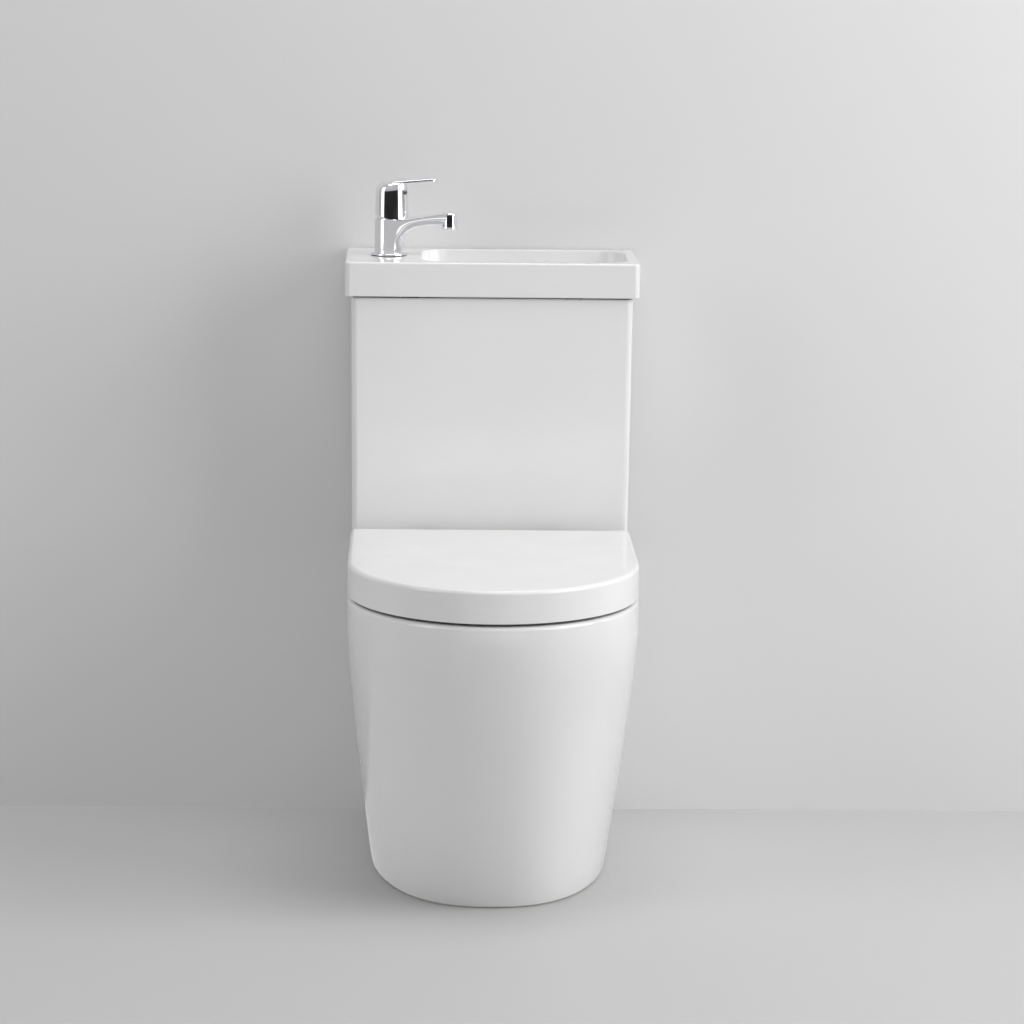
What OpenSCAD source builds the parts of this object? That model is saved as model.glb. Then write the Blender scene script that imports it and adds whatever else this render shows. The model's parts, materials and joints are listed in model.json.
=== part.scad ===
// Close-coupled toilet with a wash basin in place of the cistern lid.
// Millimetres. +Z is up, the front faces -Y, +X is to the right seen from the front.
// The origin is on the floor, under the middle of the overall width and projection.
// Depths are measured from the wall towards the front, and at() turns them into Y.

/* [Overall] */
// Projection from the wall to the front of the pan
projection = 671; // [620:1:720]
// Height of the pan's rim above the floor
pan_h = 394; // [370:1:460]

/* [Pan] */
// Width of the pan at its rim
pan_w = 381; // [370:1:384]
// Depth from the wall at which the front of the rim starts to round
pan_mid = 450; // [430:1:470]
// Width of the foot
foot_w = 319; // [290:1:340]
// Depth from the wall to the front of the foot
foot_front = 551; // [520:1:600]
// Depth from the wall of the foot's widest place
foot_mid = 230; // [210:1:260]
// Height over which the skirt narrows to the foot
flare_h = 354; // [300:1:360]
// Thickness of the pan's walls
pan_wall = 12; // [10:0.5:14]
// Thickness of the platform behind the bowl
deck_t = 16; // [14:0.5:20]
// Radius of the rim's outer edge
rim_r = 6; // [3:0.5:8]
// Width of the bowl's opening
bowl_w = 240; // [220:1:256]
// Length of the bowl's opening
bowl_l = 306; // [280:1:312]
// Depth from the wall to the middle of the bowl's opening
bowl_mid = 476; // [472:1:480]
// Height of the bottom of the bowl above the floor
sump_h = 100; // [94:1:108]
// Inner diameter of the trapway
trap_bore = 72; // [66:1:74]
// Height of the outlet's centre above the floor
outlet_h = 180; // [175:1:190]
// Outer diameter of the outlet spigot
outlet_d = 102; // [98:0.5:110]
// Depth from the wall to the end of the outlet spigot
outlet_end = 105; // [90:1:120]

/* [Cistern] */
// Width of the cistern at its top
cistern_w = 383; // [378:1:388]
// Width of the cistern at its bottom
cistern_foot_w = 377; // [372:1:382]
// Depth from the wall to the cistern's front face
cistern_front = 190; // [186:1:191]
// Depth from the wall to the cistern's back face
cistern_back = 4; // [2:1:8]
// Height of the cistern
cistern_h = 354; // [340:1:400]
// Thickness of the cistern's walls and floor
cistern_wall = 10; // [9:0.5:11]
// Height of the gap that the close-coupling gasket closes
coupling_gap = 6; // [5:0.5:9]
// Spacing of the two cistern bolts
bolt_spacing = 168; // [162:1:180]

/* [Basin] */
// Width of the basin
basin_w = 400; // [396:1:410]
// Depth of the basin from the wall
basin_depth = 194; // [193:0.5:198]
// Height of the basin's apron
basin_h = 47; // [42:1:52]
// Thickness of the pads between basin and cistern
pad_t = 2; // [1:0.5:3]
// Depth of the wash bowl
wash_depth = 81; // [74:1:86]
// Width of the deck that carries the tap, up to the wash bowl's opening
deck_w = 100; // [98:1:110]
// Width of the rim on the wash bowl's other side
rim_w = 10; // [9:0.5:12]
// Length of the wash bowl's opening from back to front
wash_l = 170; // [164:1:172]
// Thickness of the wash bowl's wall
wash_wall = 11; // [10:0.5:12]
// Diameter of the waste's hole
waste_hole_d = 32; // [30:1:34]

/* [Tap] */
// Distance of the tap's axis from the basin's left side
tap_inset = 59; // [56:1:62]
// Diameter of the tap hole in the deck
tap_hole_d = 35; // [33:1:36]
// Diameter of the tap's column
column_d = 40; // [38:1:42]
// Height of the column above the deck
column_h = 50; // [46:1:56]
// Reach of the spout from the column's axis to the outlet
spout_reach = 83; // [76:1:92]
// Diameter of the aerator
aerator_d = 22; // [20:1:23]
// Diameter of the lever's hood
hood_d = 39.6; // [38:0.2:41]
// Height of the hood and its blade's root
hood_h = 50; // [46:1:54]
// Length of the lever's blade from the column's axis to its tip
blade_l = 66; // [55:1:75]

/* [Seat and lid] */
// Depth from the wall to the hinge axis
hinge_depth = 230; // [230:1:234]
// Height of the hinge axis above the rim
hinge_rise = 26; // [26:0.5:27]
// Spacing of the two hinge bolts
hinge_spacing = 155; // [145:1:165]
// Diameter of the hinge pins
hinge_pin_d = 8; // [6:0.5:9]
// Diameter of the hinge's knuckles
knuckle_d = 21; // [18:0.5:22]
// Thickness of the seat ring
seat_t = 20; // [16:1:21]
// Height of the seat's underside above the rim
seat_rise = 10; // [9:0.5:11]
// Width of the opening in the seat
seat_open_w = 206; // [190:1:220]
// Length of the opening in the seat
seat_open_l = 262; // [250:1:270]
// Gap between the lid's edge and the rim
lid_gap = 3.5; // [2:0.5:4]
// Height of the lid's skirt
lid_h = 42.5; // [41:0.5:44]
// Thickness of the lid
lid_wall = 5; // [4:0.5:5.5]
// Depth from the wall to the back of the lid
lid_back = 206; // [204:1:210]

/* [Flush] */
// Outer diameter of the flush valve's threaded shank
shank_d = 60; // [56:1:60]
// Height of the flush valve's cage
cage_h = 168; // [150:1:175]
// Lift of the flush valve
valve_lift = 20; // [15:1:24]
// Height of the overflow's mouth above the cistern's underside
overflow_h = 256; // [250:1:262]
// Outer diameter of the overflow tube
overflow_d = 24; // [20:1:24]
// Distance of the fill valve to the left of the centre line
fill_x = 128; // [124:1:132]
// Outer diameter of the fill valve's threaded inlet
inlet_d = 20.96; // [16:0.01:21]
// Length of the fill valve's inlet below the cistern
inlet_l = 48; // [44:1:60]
// Height of the fill valve above the cistern's floor
fill_h = 226; // [210:1:240]
// Outer diameter of the float
float_d = 64; // [56:1:70]
// Travel of the float
float_travel = 20; // [15:1:24]
// Height of the push buttons above the cistern's underside
button_rise = 260; // [250:1:270]
// Diameter of the pair of push buttons
button_d = 40; // [36:1:42]
// Travel of the push buttons
button_travel = 5; // [4:0.5:6]

/* [Fixings] */
// Height of the side screws above the floor
side_screw_h = 40; // [35:1:50]
// Depth from the wall to the side screws
side_screw_depth = 170; // [150:1:190]
// Diameter of the side screws
side_screw_d = 6; // [5:0.5:8]
// Diameter of the floor bracket's screw hole
bracket_hole_d = 9; // [7:0.5:10]

/* [Hidden] */
$fn = 48;

ceramic = "white";
plastic = "whitesmoke";
chrome = "silver";
rubber = "dimgray";
brass = "goldenrod";

// Gap between faces of pieces that move past or rest on each other
gap = 0.3;
// Radial clearance of a pin that turns in its bore
run = 0.06;
// Radial clearance of a bolt or shank in its hole
slip = 1;
// What a cutter runs past the face that it cuts
over = 1;

wall_y = projection / 2;
rear_r = 8;
arc_steps = 28;
corner_steps = 4;

// Levels, from the floor up
deck_under = pan_h - deck_t;
cistern_z = pan_h + coupling_gap;
floor_z = cistern_z + cistern_wall;
cistern_top = cistern_z + cistern_h;
basin_z = cistern_top + pad_t;
basin_top = basin_z + basin_h;
wash_z = basin_top - wash_depth;
wash_under = wash_z - wash_wall;
lid_z = pan_h + lid_gap;
lid_top = lid_z + lid_h;
lid_under = lid_top - lid_wall;
seat_z = pan_h + seat_rise;
seat_top = seat_z + seat_t;
hinge_z = pan_h + hinge_rise;
tap_x = basin_w / 2 - tap_inset;
// Width of the wash bowl's opening, and its middle to the right of the centre line
wash_w = basin_w - deck_w - rim_w;
wash_x = (deck_w - rim_w) / 2;

// Middle of the cistern, where the flush valve and the bolts stand
tank_mid = (cistern_front + cistern_back) / 2;

// ---- Points, outlines and lofts ----

// Point x across, d out from the wall and z up
function at(x, d, z) = [x, wall_y - d, z];
function unit(v) = v / norm(v);
function mix(a, b, t) = a + (b - a) * t;
function bend(v, n) = sign(v) * pow(abs(v), 2 / n);

// Arc of one corner of an outline, from angle a0 over 90 degrees
function corner(x, d, r, a0) =
    [for (k = [0 : corner_steps]) let (a = a0 + 90 * k / corner_steps)
        [x + r * cos(a), d + r * sin(a)]];
// Points strictly between two points
function between(p, q, count) = [for (k = [1 : count]) mix(p, q, k / (count + 1))];

// D-shaped outline: straight back with rounded corners, straight sides and a
// superelliptic front of power n, drawn in from a full one by inset
function d_outline(half, mid, front, n, back, r, inset = 0) =
    let (h = half - inset, f = front - inset, b = back + inset, q = max(r - inset, 1),
         right = corner(h - q, b + q, q, -90), left = corner(q - h, b + q, q, 180))
    concat(right, between([h, b + q], [h, mid], 3),
           [for (k = [0 : arc_steps]) let (a = 180 * k / arc_steps)
               [h * bend(cos(a), n), mid + (f - mid) * bend(sin(a), n)]],
           between([-h, mid], [-h, b + q], 3), left,
           between([q - h, b], [h - q, b], 5));

// Rectangle with rounded corners, in the same order
function box_outline(x0, x1, d0, d1, r, inset = 0, sides = 5) =
    let (a = x0 + inset, b = x1 - inset, c = d0 + inset, e = d1 - inset,
         q = max(r - inset, 1),
         corners = [corner(b - q, c + q, q, -90), corner(b - q, e - q, q, 0),
                    corner(a + q, e - q, q, 90), corner(a + q, c + q, q, 180)])
    [for (i = [0 : 3]) each concat(corners[i],
        between(corners[i][corner_steps], corners[(i + 1) % 4][0], sides))];

// Outline lifted to height z
function lift(outline, z) = [for (p = outline) at(p[0], p[1], z)];
// Directions in which an outline's points lie, seen from [x, d]
function bearings(outline, x, d) = [for (p = outline) atan2(p[1] - d, p[0] - x)];
// Superelliptic ring of half sizes a and b round [x, d], one point per bearing
function oval(angles, x, d, a, b, n, z) =
    [for (t = angles)
        let (r = pow(pow(abs(cos(t)) / a, n) + pow(abs(sin(t)) / b, n), -1 / n))
        at(x + r * cos(t), d + r * sin(t), z)];

// Mean of a ring's points
function middle(ring) = [for (i = [0 : 2])
    [for (p = ring) 1] * [for (p = ring) p[i]] / len(ring)];

// Skin over rings of equal length, from a first face that looks up to a last that looks down
module loft(rings, closed = false) {
    n = len(rings[0]);
    m = len(rings);
    spans = closed ? m : m - 1;
    points = concat([for (r = rings) each r], [middle(rings[0]), middle(rings[m - 1])]);
    sides = [for (i = [0 : spans - 1], j = [0 : n - 1])
        let (u = i * n, v = (i + 1) % m * n, k = (j + 1) % n)
        each [[u + j, v + j, v + k], [u + j, v + k, u + k]]];
    caps = closed ? [] : [for (j = [0 : n - 1]) let (k = (j + 1) % n, e = (m - 1) * n)
        each [[m * n, j, k], [m * n + 1, e + k, e + j]]];
    polyhedron(closed ? [for (r = rings) each r] : points, concat(sides, caps), convexity = 10);
}

// Smooth route through a list of points, with steps points to each stretch
function spline(p, steps) = let (last = len(p) - 1)
    concat([for (i = [0 : last - 1], k = [0 : steps - 1])
        let (t = k / steps, a = p[max(i - 1, 0)], b = p[i], c = p[i + 1], e = p[min(i + 2, last)])
        0.5 * (2 * b + (c - a) * t + (2 * a - 5 * b + 4 * c - e) * t * t
               + (3 * b - a - 3 * c + e) * t * t * t)], [p[last]]);
function heading(p, i) = unit(p[min(i + 1, len(p) - 1)] - p[max(i - 1, 0)]);

// Round bar of radius r along a route; level is a direction that the route never takes
module bar(route, r, level, sides) {
    loft([for (i = [0 : len(route) - 1])
        let (t = heading(route, i), s = unit(cross(t, level)), u = cross(s, t))
        [for (k = [0 : sides - 1]) let (a = 360 * k / sides)
            route[i] + r * (cos(a) * s - sin(a) * u)]]);
}

module place(x, d, z = 0) { translate(at(x, d, z)) children(); }
// Tube or disc of outer radius r and inner radius bore, from z0 to z1
module tube(r, bore, z0, z1) {
    rotate_extrude() translate([bore, z0]) square([r - bore, z1 - z0]);
}
module rod(r, z0, z1) { translate([0, 0, z0]) cylinder(r = r, h = z1 - z0); }
// Hexagonal nut with a bore
module hex_nut(across, bore, z0, z1) {
    difference() {
        translate([0, 0, z0]) cylinder(d = across / cos(30), h = z1 - z0, $fn = 6);
        rod(bore, z0 - over, z1 + over);
    }
}
// Nut with two wings for the fingers
module finger_nut(r, bore, z0, z1) {
    wing_t = 4;
    difference() {
        union() {
            rod(r, z0, z1);
            translate([-2 * r, -wing_t / 2, z0]) cube([4 * r, wing_t, z1 - z0 - 2]);
        }
        rod(bore, z0 - over, z1 + over);
    }
}

// ---- Pan ----

// How far the skirt has narrowed at height z, from 0 at the top to 1 at the floor
flare_power = 1.2;
// What the foot's superellipse power has gained over the rim's
foot_square = 0.35;
function narrow(z) = z < flare_h ? pow(1 - z / flare_h, flare_power) : 0;
function skirt(z, inset) = let (g = narrow(z))
    d_outline(mix(pan_w, foot_w, g) / 2, mix(pan_mid, foot_mid, g),
              mix(projection, foot_front, g), 2 + foot_square * g, 0, rear_r, inset);

pan_angles = bearings(skirt(pan_h, 0), 0, bowl_mid);
rim_inner_r = 8;
// Undercut behind the bowl's edge
undercut = 5;
// Sump, where the trapway leaves the bowl
sump_mid = 404;
sump_w = 72;
sump_l = 80;
// Share of the way down from the opening to the sump, and how far the bowl has closed there
bowl_steps = [[0.14, 0.03], [0.27, 0.12], [0.39, 0.28], [0.49, 0.48], [0.57, 0.70],
              [0.65, 0.90], [0.72, 1], [0.96, 1]];

// Ring of the bowl after closing by share t, grown by wall
function bowl_ring(t, z, grow) =
    oval(pan_angles, 0, mix(bowl_mid, sump_mid, t),
         mix(bowl_w / 2 + undercut, sump_w / 2, t) + grow,
         mix(bowl_l / 2 + undercut, sump_l / 2, t) + grow, 2.1, z);

function bowl_edge(grow, z) =
    oval(pan_angles, 0, bowl_mid, bowl_w / 2 + grow, bowl_l / 2 + grow, 2.1, z);

bowl_top = pan_h - 26;

module pan_shell() {
    depth = bowl_top - sump_h;
    sump_inner = bowl_ring(1, sump_h, -14);
    inner = [for (i = [len(bowl_steps) - 1 : -1 : 0])
        bowl_ring(bowl_steps[i][1], bowl_top - depth * bowl_steps[i][0], 0)];
    edge = concat([bowl_ring(0, bowl_top - 4, 0), bowl_edge(1, bowl_top), bowl_edge(0, bowl_top + 4)],
        [for (a = [0 : 30 : 90])
            bowl_edge(rim_inner_r * (1 - cos(a)), pan_h - rim_inner_r * (1 - sin(a)))]);
    rim = [for (a = [90 : -30 : 0])
        lift(skirt(pan_h, rim_r * (1 - cos(a))), pan_h - rim_r * (1 - sin(a)))];
    foot_r = 3;
    outer = [for (k = [0 : 12]) let (z = mix(flare_h, foot_r, k / 12)) lift(skirt(z, 0), z)];
    under = [lift(skirt(0, foot_r), 0), lift(skirt(0, pan_wall - foot_r), 0)];
    inside = [for (k = [0 : 5]) let (z = mix(foot_r, flare_h, k / 5)) lift(skirt(z, pan_wall), z)];
    ceiling = [lift(skirt(pan_h, pan_wall - 2), deck_under)];
    bottom = [for (i = [0 : len(bowl_steps) - 1])
        bowl_ring(bowl_steps[i][1], bowl_top - depth * bowl_steps[i][0] - pan_wall * bowl_steps[i][0],
                  pan_wall)];
    loft(concat([sump_inner], inner, edge, rim, outer, under, inside, ceiling,
                [bowl_ring(0, deck_under, pan_wall)], bottom,
                [bowl_ring(1, sump_h - pan_wall, 0)]));
}

// Route of the trapway: back out of the sump, steeply up to the weir, down and back to
// the outlet. It is made of straight runs and bends of one radius.
trap_r = trap_bore / 2;
trap_outer_r = trap_r + pan_wall - 2;
trap_low = sump_h + trap_r + 4;
trap_rise = 76;
trap_fall = 66;
trap_bend = trap_outer_r + 4;
// Depth of the water seal, from the weir down to the dip of the bowl's rear wall
water_seal = 50;
weir_h = trap_low + 2 * trap_r + water_seal;
trap_start = sump_mid - sump_l / 2 - 8;
trap_mouth = trap_start + 6;
climb = (weir_h - trap_low - 2 * trap_bend * (1 - cos(trap_rise))) / sin(trap_rise);
drop = (weir_h - outlet_h - 2 * trap_bend * (1 - cos(trap_fall))) / sin(trap_fall);
crown_depth = trap_start - 2 * trap_bend * sin(trap_rise) - climb * cos(trap_rise);
bend_end = crown_depth - 2 * trap_bend * sin(trap_fall) - drop * cos(trap_fall);
function trap_bend_points(d, z, from, to, side) =
    [for (k = [0 : 5]) let (a = mix(from, to, k / 5))
        at(0, d - trap_bend * sin(a), z + side * trap_bend * (1 - cos(a)))];
function trap_route(start, end) = concat([at(0, start, trap_low)],
    trap_bend_points(trap_start, trap_low, 0, trap_rise, 1),
    trap_bend_points(crown_depth, weir_h, -trap_rise, trap_fall, -1),
    trap_bend_points(bend_end, outlet_h, -trap_fall, 0, 1), [at(0, end, outlet_h)]);
module trapway(r, start, end) { bar(trap_route(start, end), r, [1, 0, 0], 20); }
outlet_start = bend_end + 4;

// Flush way: inlet well under the cistern and a duct forward to the bowl
inlet_well_r = 48;
inlet_well_h = 22;
duct_w = 64;
duct_h = 36;
duct_top = deck_under - 4;
duct_bottom = duct_top - duct_h;
duct_front = bowl_mid - bowl_l / 2 + 4;
throat_r = shank_d / 2 + 5;
module duct(grow, front) {
    back = tank_mid;
    translate([0, wall_y - back, duct_bottom - grow])
        rotate([90, 0, 0])
            translate([-duct_w / 2 - grow, 0, 0])
                cube([duct_w + 2 * grow, duct_h + 2 * grow, front - back]);
}

side_screw_half = mix(pan_w, foot_w, narrow(side_screw_h)) / 2;

module pan() color(ceramic) difference() {
    union() {
        difference() {
            pan_shell();
            // Open back for the soil pipe and the water supply
            place(0, pan_wall + over) rotate([-90, 0, 0]) linear_extrude(pan_wall + 2 * over)
                polygon([[pan_wall - foot_w / 2 + 4, over], [foot_w / 2 - pan_wall - 4, over],
                         [pan_w / 2 - pan_wall - 4, -flare_h], [pan_w / 2 - pan_wall - 4, -deck_under + 4],
                         [4 + pan_wall - pan_w / 2, -deck_under + 4], [4 + pan_wall - pan_w / 2, -flare_h]]);
        }
        trapway(trap_outer_r, trap_mouth, bend_end - 6);
        place(0, outlet_start, outlet_h) rotate([-90, 0, 0])
            rod(outlet_d / 2, 0, outlet_start - outlet_end);
        place(0, tank_mid) rod(inlet_well_r + pan_wall, duct_bottom - pan_wall + 2, deck_under + 2);
        duct(pan_wall - 2, duct_front - 14);
    }
    trapway(trap_r, sump_mid, outlet_end - over);
    duct(0, duct_front);
    place(0, tank_mid) {
        rod(inlet_well_r, pan_h - inlet_well_h, pan_h + over);
        rod(throat_r, duct_bottom, pan_h);
    }
    for (s = [-1, 1]) {
        place(s * bolt_spacing / 2, tank_mid) rod(bolt_hole_r, deck_under - over, pan_h + over);
        place(s * hinge_spacing / 2, hinge_depth) rod(bolt_hole_r, deck_under - over, pan_h + over);
        place(s * side_screw_half, side_screw_depth, side_screw_h) rotate([0, 90, 0])
            rod(screw_head_r + slip, -pan_wall - 8, pan_wall + 8);
    }
    place(-fill_x, tank_mid) rod(fill_nut_r + 5, deck_under - over, pan_h + over);
}

// ---- Cistern ----

bolt_d = 8;
bolt_hole_r = bolt_d / 2 + 2;
cistern_r = 9;
function tank(z, inset) =
    let (w = mix(cistern_foot_w, cistern_w, (z - cistern_z) / cistern_h) / 2)
    lift(box_outline(-w, w, cistern_back, cistern_front, cistern_r, inset), z);

// Half width of the tank's outside at height z
function tank_half(z) = mix(cistern_foot_w, cistern_w, (z - cistern_z) / cistern_h) / 2;

module cistern() color(ceramic) difference() {
    loft(concat(
        [tank(floor_z, cistern_wall + 7), tank(floor_z + 2, cistern_wall + 2),
         tank(floor_z + 7, cistern_wall)],
        [for (k = [1 : 3]) tank(mix(floor_z, cistern_top - 2, k / 3), cistern_wall)],
        [tank(cistern_top, cistern_wall - 2), tank(cistern_top, 2), tank(cistern_top - 2, 0)],
        [for (k = [2 : -1 : 1]) tank(mix(cistern_z, cistern_top, k / 3), 0)],
        [tank(cistern_z + 8, 0), tank(cistern_z + 2.3, 2.3), tank(cistern_z, 8)]));
    place(0, tank_mid) rod(shank_d / 2 + slip, cistern_z - over, floor_z + over);
    for (s = [-1, 1])
        place(s * bolt_spacing / 2, tank_mid) rod(bolt_hole_r, cistern_z - over, floor_z + over);
    place(-fill_x, tank_mid) rod(inlet_d / 2 + slip, cistern_z - over, floor_z + over);
    place(button_x - cistern_wall - 3, tank_mid, button_z) rotate([0, 90, 0])
        rod(housing_r + slip, 0, cistern_wall + 10);
}

// Rubber ring between the pan's platform and the cistern
module coupling_gasket() color(rubber) place(0, tank_mid)
    tube(inlet_well_r + 10, shank_nut_r + 2, pan_h, cistern_z);

module cistern_bolts() color(brass) for (s = [-1, 1]) place(s * bolt_spacing / 2, tank_mid) {
    rod(bolt_d / 2, deck_under - 22, floor_z + bolt_washer_t + 1);
    rod(bolt_d, floor_z + bolt_washer_t, floor_z + bolt_washer_t + 5);
}

bolt_washer_t = 3;
bolt_washer_r = 14;
// Finger nuts of the cistern's and the hinge's bolts
finger_r = bolt_d + 1;
finger_t = 1.5 * bolt_d;
module bolt_washers() color(rubber) for (s = [-1, 1]) place(s * bolt_spacing / 2, tank_mid) {
    tube(bolt_washer_r, bolt_d / 2, floor_z, floor_z + bolt_washer_t);
    tube(bolt_washer_r, bolt_d / 2, deck_under - bolt_washer_t, deck_under);
}

module wing_nuts() color(brass) for (s = [-1, 1]) place(s * bolt_spacing / 2, tank_mid)
    rotate(90) finger_nut(finger_r, bolt_d / 2, deck_under - bolt_washer_t - finger_t, deck_under - bolt_washer_t);

// ---- Flush valve ----

washer_t = 3;
valve_flange_z = floor_z + washer_t;
valve_bore_r = shank_d / 2 - 4;
valve_seat_z = valve_flange_z + 12;
cage_r = shank_d / 2 + 2.5;
cage_t = 2;
cage_top = valve_flange_z + cage_h;
lift_r = 10;
overflow_x = wash_x;
overflow_top = cistern_z + overflow_h;
shank_nut_r = shank_d / 2 + 8;
shank_end = pan_h - inlet_well_h;

module flush_valve_washer() color(rubber) place(0, tank_mid)
    tube(shank_d / 2 + 8, shank_d / 2, floor_z, valve_flange_z);

module flush_valve_nut() color(plastic) place(0, tank_mid) difference() {
    union() {
        rod(shank_nut_r, cistern_z - 9, cistern_z);
        for (a = [0 : 30 : 330]) rotate(a)
            translate([shank_nut_r - 2, -2, cistern_z - 9]) cube([3, 4, 6]);
    }
    rod(shank_d / 2, cistern_z - 9 - over, cistern_z + over);
}

module flush_valve_body() color(plastic) place(0, tank_mid) difference() {
    union() {
        rod(shank_d / 2, shank_end, valve_flange_z);
        rod(shank_d / 2 + 8, valve_flange_z, valve_flange_z + 5);
        rod(valve_bore_r + 3, valve_flange_z, valve_seat_z);
        tube(cage_r, cage_r - cage_t, valve_flange_z, cage_top);
        rod(cage_r, cage_top - 4, cage_top);
        // Socket of the overflow tube, joined to the shank's bore
        translate([overflow_x, 0]) rod(overflow_d / 2 + 3, valve_flange_z, valve_seat_z + 12);
        translate([0, -8, valve_flange_z]) cube([overflow_x, 16, 10]);
    }
    rod(valve_bore_r, shank_end - over, valve_seat_z + over);
    rod(lift_r + gap, cage_top - 4 - over, cage_top + over);
    translate([overflow_x, 0]) rod(overflow_d / 2, valve_seat_z, valve_seat_z + 12 + over);
    translate([overflow_x, 0]) rod(overflow_d / 2 - 3, valve_flange_z + 2, valve_seat_z + over);
    translate([0, -5, valve_flange_z + 2]) cube([overflow_x, 10, 6]);
    // Windows of the cage
    for (a = [45 : 90 : 315], z = [0, 1]) rotate(a)
        translate([0, -cage_r / 2.6, valve_seat_z + 6 + z * (cage_h - 30) / 2])
            cube([cage_r + over, cage_r / 1.3, (cage_h - 30) / 2 - 10]);
}

module lift_tube() color(plastic) place(0, tank_mid) difference() {
    union() {
        rod(lift_r, valve_seat_z + gap + 3, cage_top + 4);
        rod(valve_bore_r - 2, valve_seat_z + gap + 3, valve_seat_z + gap + 7);
        rod(lift_r + 3, cage_top - valve_lift - 12, cage_top - valve_lift - 5);
    }
    rod(lift_r - 2, valve_seat_z, cage_top + 4 - 3);
}

module valve_seal() color(rubber) place(0, tank_mid)
    tube(valve_bore_r + 3, lift_r - 4, valve_seat_z + gap, valve_seat_z + gap + 3);

module overflow_tube() color(plastic) place(overflow_x, tank_mid) difference() {
    union() {
        rod(overflow_d / 2, valve_seat_z, overflow_top);
        translate([0, 0, overflow_top - 14]) cylinder(r1 = overflow_d / 2, r2 = overflow_d / 2 + 6, h = 14);
    }
    rod(overflow_d / 2 - 2, valve_seat_z - over, overflow_top + over);
    translate([0, 0, overflow_top - 12])
        cylinder(r1 = overflow_d / 2 - 2, r2 = overflow_d / 2 + 5, h = 12 + 2 * gap);
}

// ---- Push buttons ----

button_z = cistern_z + button_rise;
button_x = tank_half(button_z);
housing_r = button_d / 2 + 2;
housing_l = 34;
bezel_t = 2.3;
bezel_r = housing_r + 6;
// Everything here runs along X, with 0 at the cistern's outer face
module button_frame() { place(button_x, tank_mid, button_z) rotate([0, 90, 0]) children(); }

module button_housing() color(chrome) button_frame() difference() {
    union() {
        rod(housing_r, -housing_l, 1);
        rod(bezel_r, 0.4, bezel_t);
    }
    rod(button_d / 2, -housing_l + 3, bezel_t + over);
    for (s = [-1, 1]) translate([s * stem_shift, 0]) rod(stem_r + gap, -housing_l - over, 0);
}

stem_r = 3;
stem_shift = 9;
module button_nut() color(plastic) button_frame() difference() {
    rod(bezel_r, -cistern_wall - 10, -cistern_wall - 1);
    rod(housing_r, -cistern_wall - 11, 0);
}

// One of the two buttons: the part of the round face on one side of a split line
split_x = 5;
module button_half(side) {
    button_frame() {
        intersection() {
            rod(button_d / 2 - 0.4, -4, bezel_t);
            translate([side < 0 ? -button_d : split_x + gap, -button_d / 2, -5])
                cube([side < 0 ? button_d + split_x - gap : button_d, button_d, 10]);
        }
        translate([side * stem_shift, 0]) rod(stem_r, -housing_l + button_travel, -3);
    }
}
module full_flush_button() color(chrome) button_half(-1);
module half_flush_button() color(chrome) button_half(1);

// Bowden cable from the housing to the flush valve
cable_r = 2.5;
cable_in = button_x - housing_l - gap;
cable_drop = button_z - cage_top;
cable_back = cage_r - lift_r;
cable_route = [at(cable_in, tank_mid, button_z), at(cable_in - 10, tank_mid, button_z),
               at(0.8 * cable_in, tank_mid - 0.7 * cable_back, button_z),
               at(0.45 * cable_in, tank_mid - 1.5 * cable_back, button_z - 0.08 * cable_drop),
               at(0.13 * cable_in, tank_mid - 1.4 * cable_back, button_z - 0.23 * cable_drop),
               at(0, tank_mid - cable_back, button_z - 0.5 * cable_drop),
               at(0, tank_mid - 0.9 * cable_back, cage_top)];
module flush_cable() color(rubber) bar(spline(cable_route, 4), cable_r, [0, 1, 0.2], 8);

// ---- Fill valve ----

fill_body_r = 14;
fill_nut_r = 17;
fill_nut_t = 10;
fill_neck_r = inlet_d / 2 - 0.5;
fill_top = floor_z + fill_h;
fill_head_h = 38;
fill_cap_h = 8;
float_h = 60;
float_z = fill_top - fill_head_h - 2 - float_travel - float_h;
module fill_valve() color(plastic) place(-fill_x, tank_mid) difference() {
    union() {
        rod(inlet_d / 2, cistern_z - inlet_l, cistern_z - fill_nut_t);
        rod(fill_neck_r, cistern_z - inlet_l, floor_z + washer_t);
        rod(fill_nut_r, floor_z + washer_t, floor_z + washer_t + 6);
        rod(fill_body_r, floor_z + washer_t, fill_top - 20);
        rod(fill_body_r + 4, float_z - 6, float_z - gap);
        rod(fill_body_r + 8, fill_top - fill_head_h, fill_top - fill_cap_h);
        rod(fill_body_r + 2, fill_top - fill_cap_h - over, fill_top);
        // Side outlet
        translate([0, -6, fill_top - 30]) cube([fill_body_r + 20, 12, 12]);
    }
    rod(inlet_d / 2 - 3, cistern_z - inlet_l - over, fill_top - 30);
}
module fill_float() color("steelblue") place(-fill_x, tank_mid)
    tube(float_d / 2, fill_body_r + 1, float_z, float_z + float_h);
module fill_washer() color(rubber) place(-fill_x, tank_mid)
    tube(fill_nut_r, fill_neck_r, floor_z, floor_z + washer_t);
module fill_nut() color(plastic) place(-fill_x, tank_mid)
    hex_nut(2 * fill_nut_r * cos(30), fill_neck_r, cistern_z - fill_nut_t, cistern_z);

// ---- Basin ----

apron_r = 8;
basin_edge_r = 3;
basin_mid = basin_depth / 2;
function apron(inset, z) =
    lift(box_outline(-basin_w / 2, basin_w / 2, 0, basin_depth, apron_r, inset), z);
basin_angles = bearings(box_outline(-basin_w / 2, basin_w / 2, 0, basin_depth, apron_r),
                        wash_x, tank_mid);
function wash(a, b, n, z) = oval(basin_angles, wash_x, tank_mid, a, b, n, z);
// The bowl drops into the cistern below this half length and half width
dip_a = cistern_w / 2 - cistern_wall - wash_x - 2;
dip_b = (cistern_front - cistern_back) / 2 - cistern_wall - 2;
waste_r = waste_hole_d / 2;
flange_r = waste_r + 6;

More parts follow.
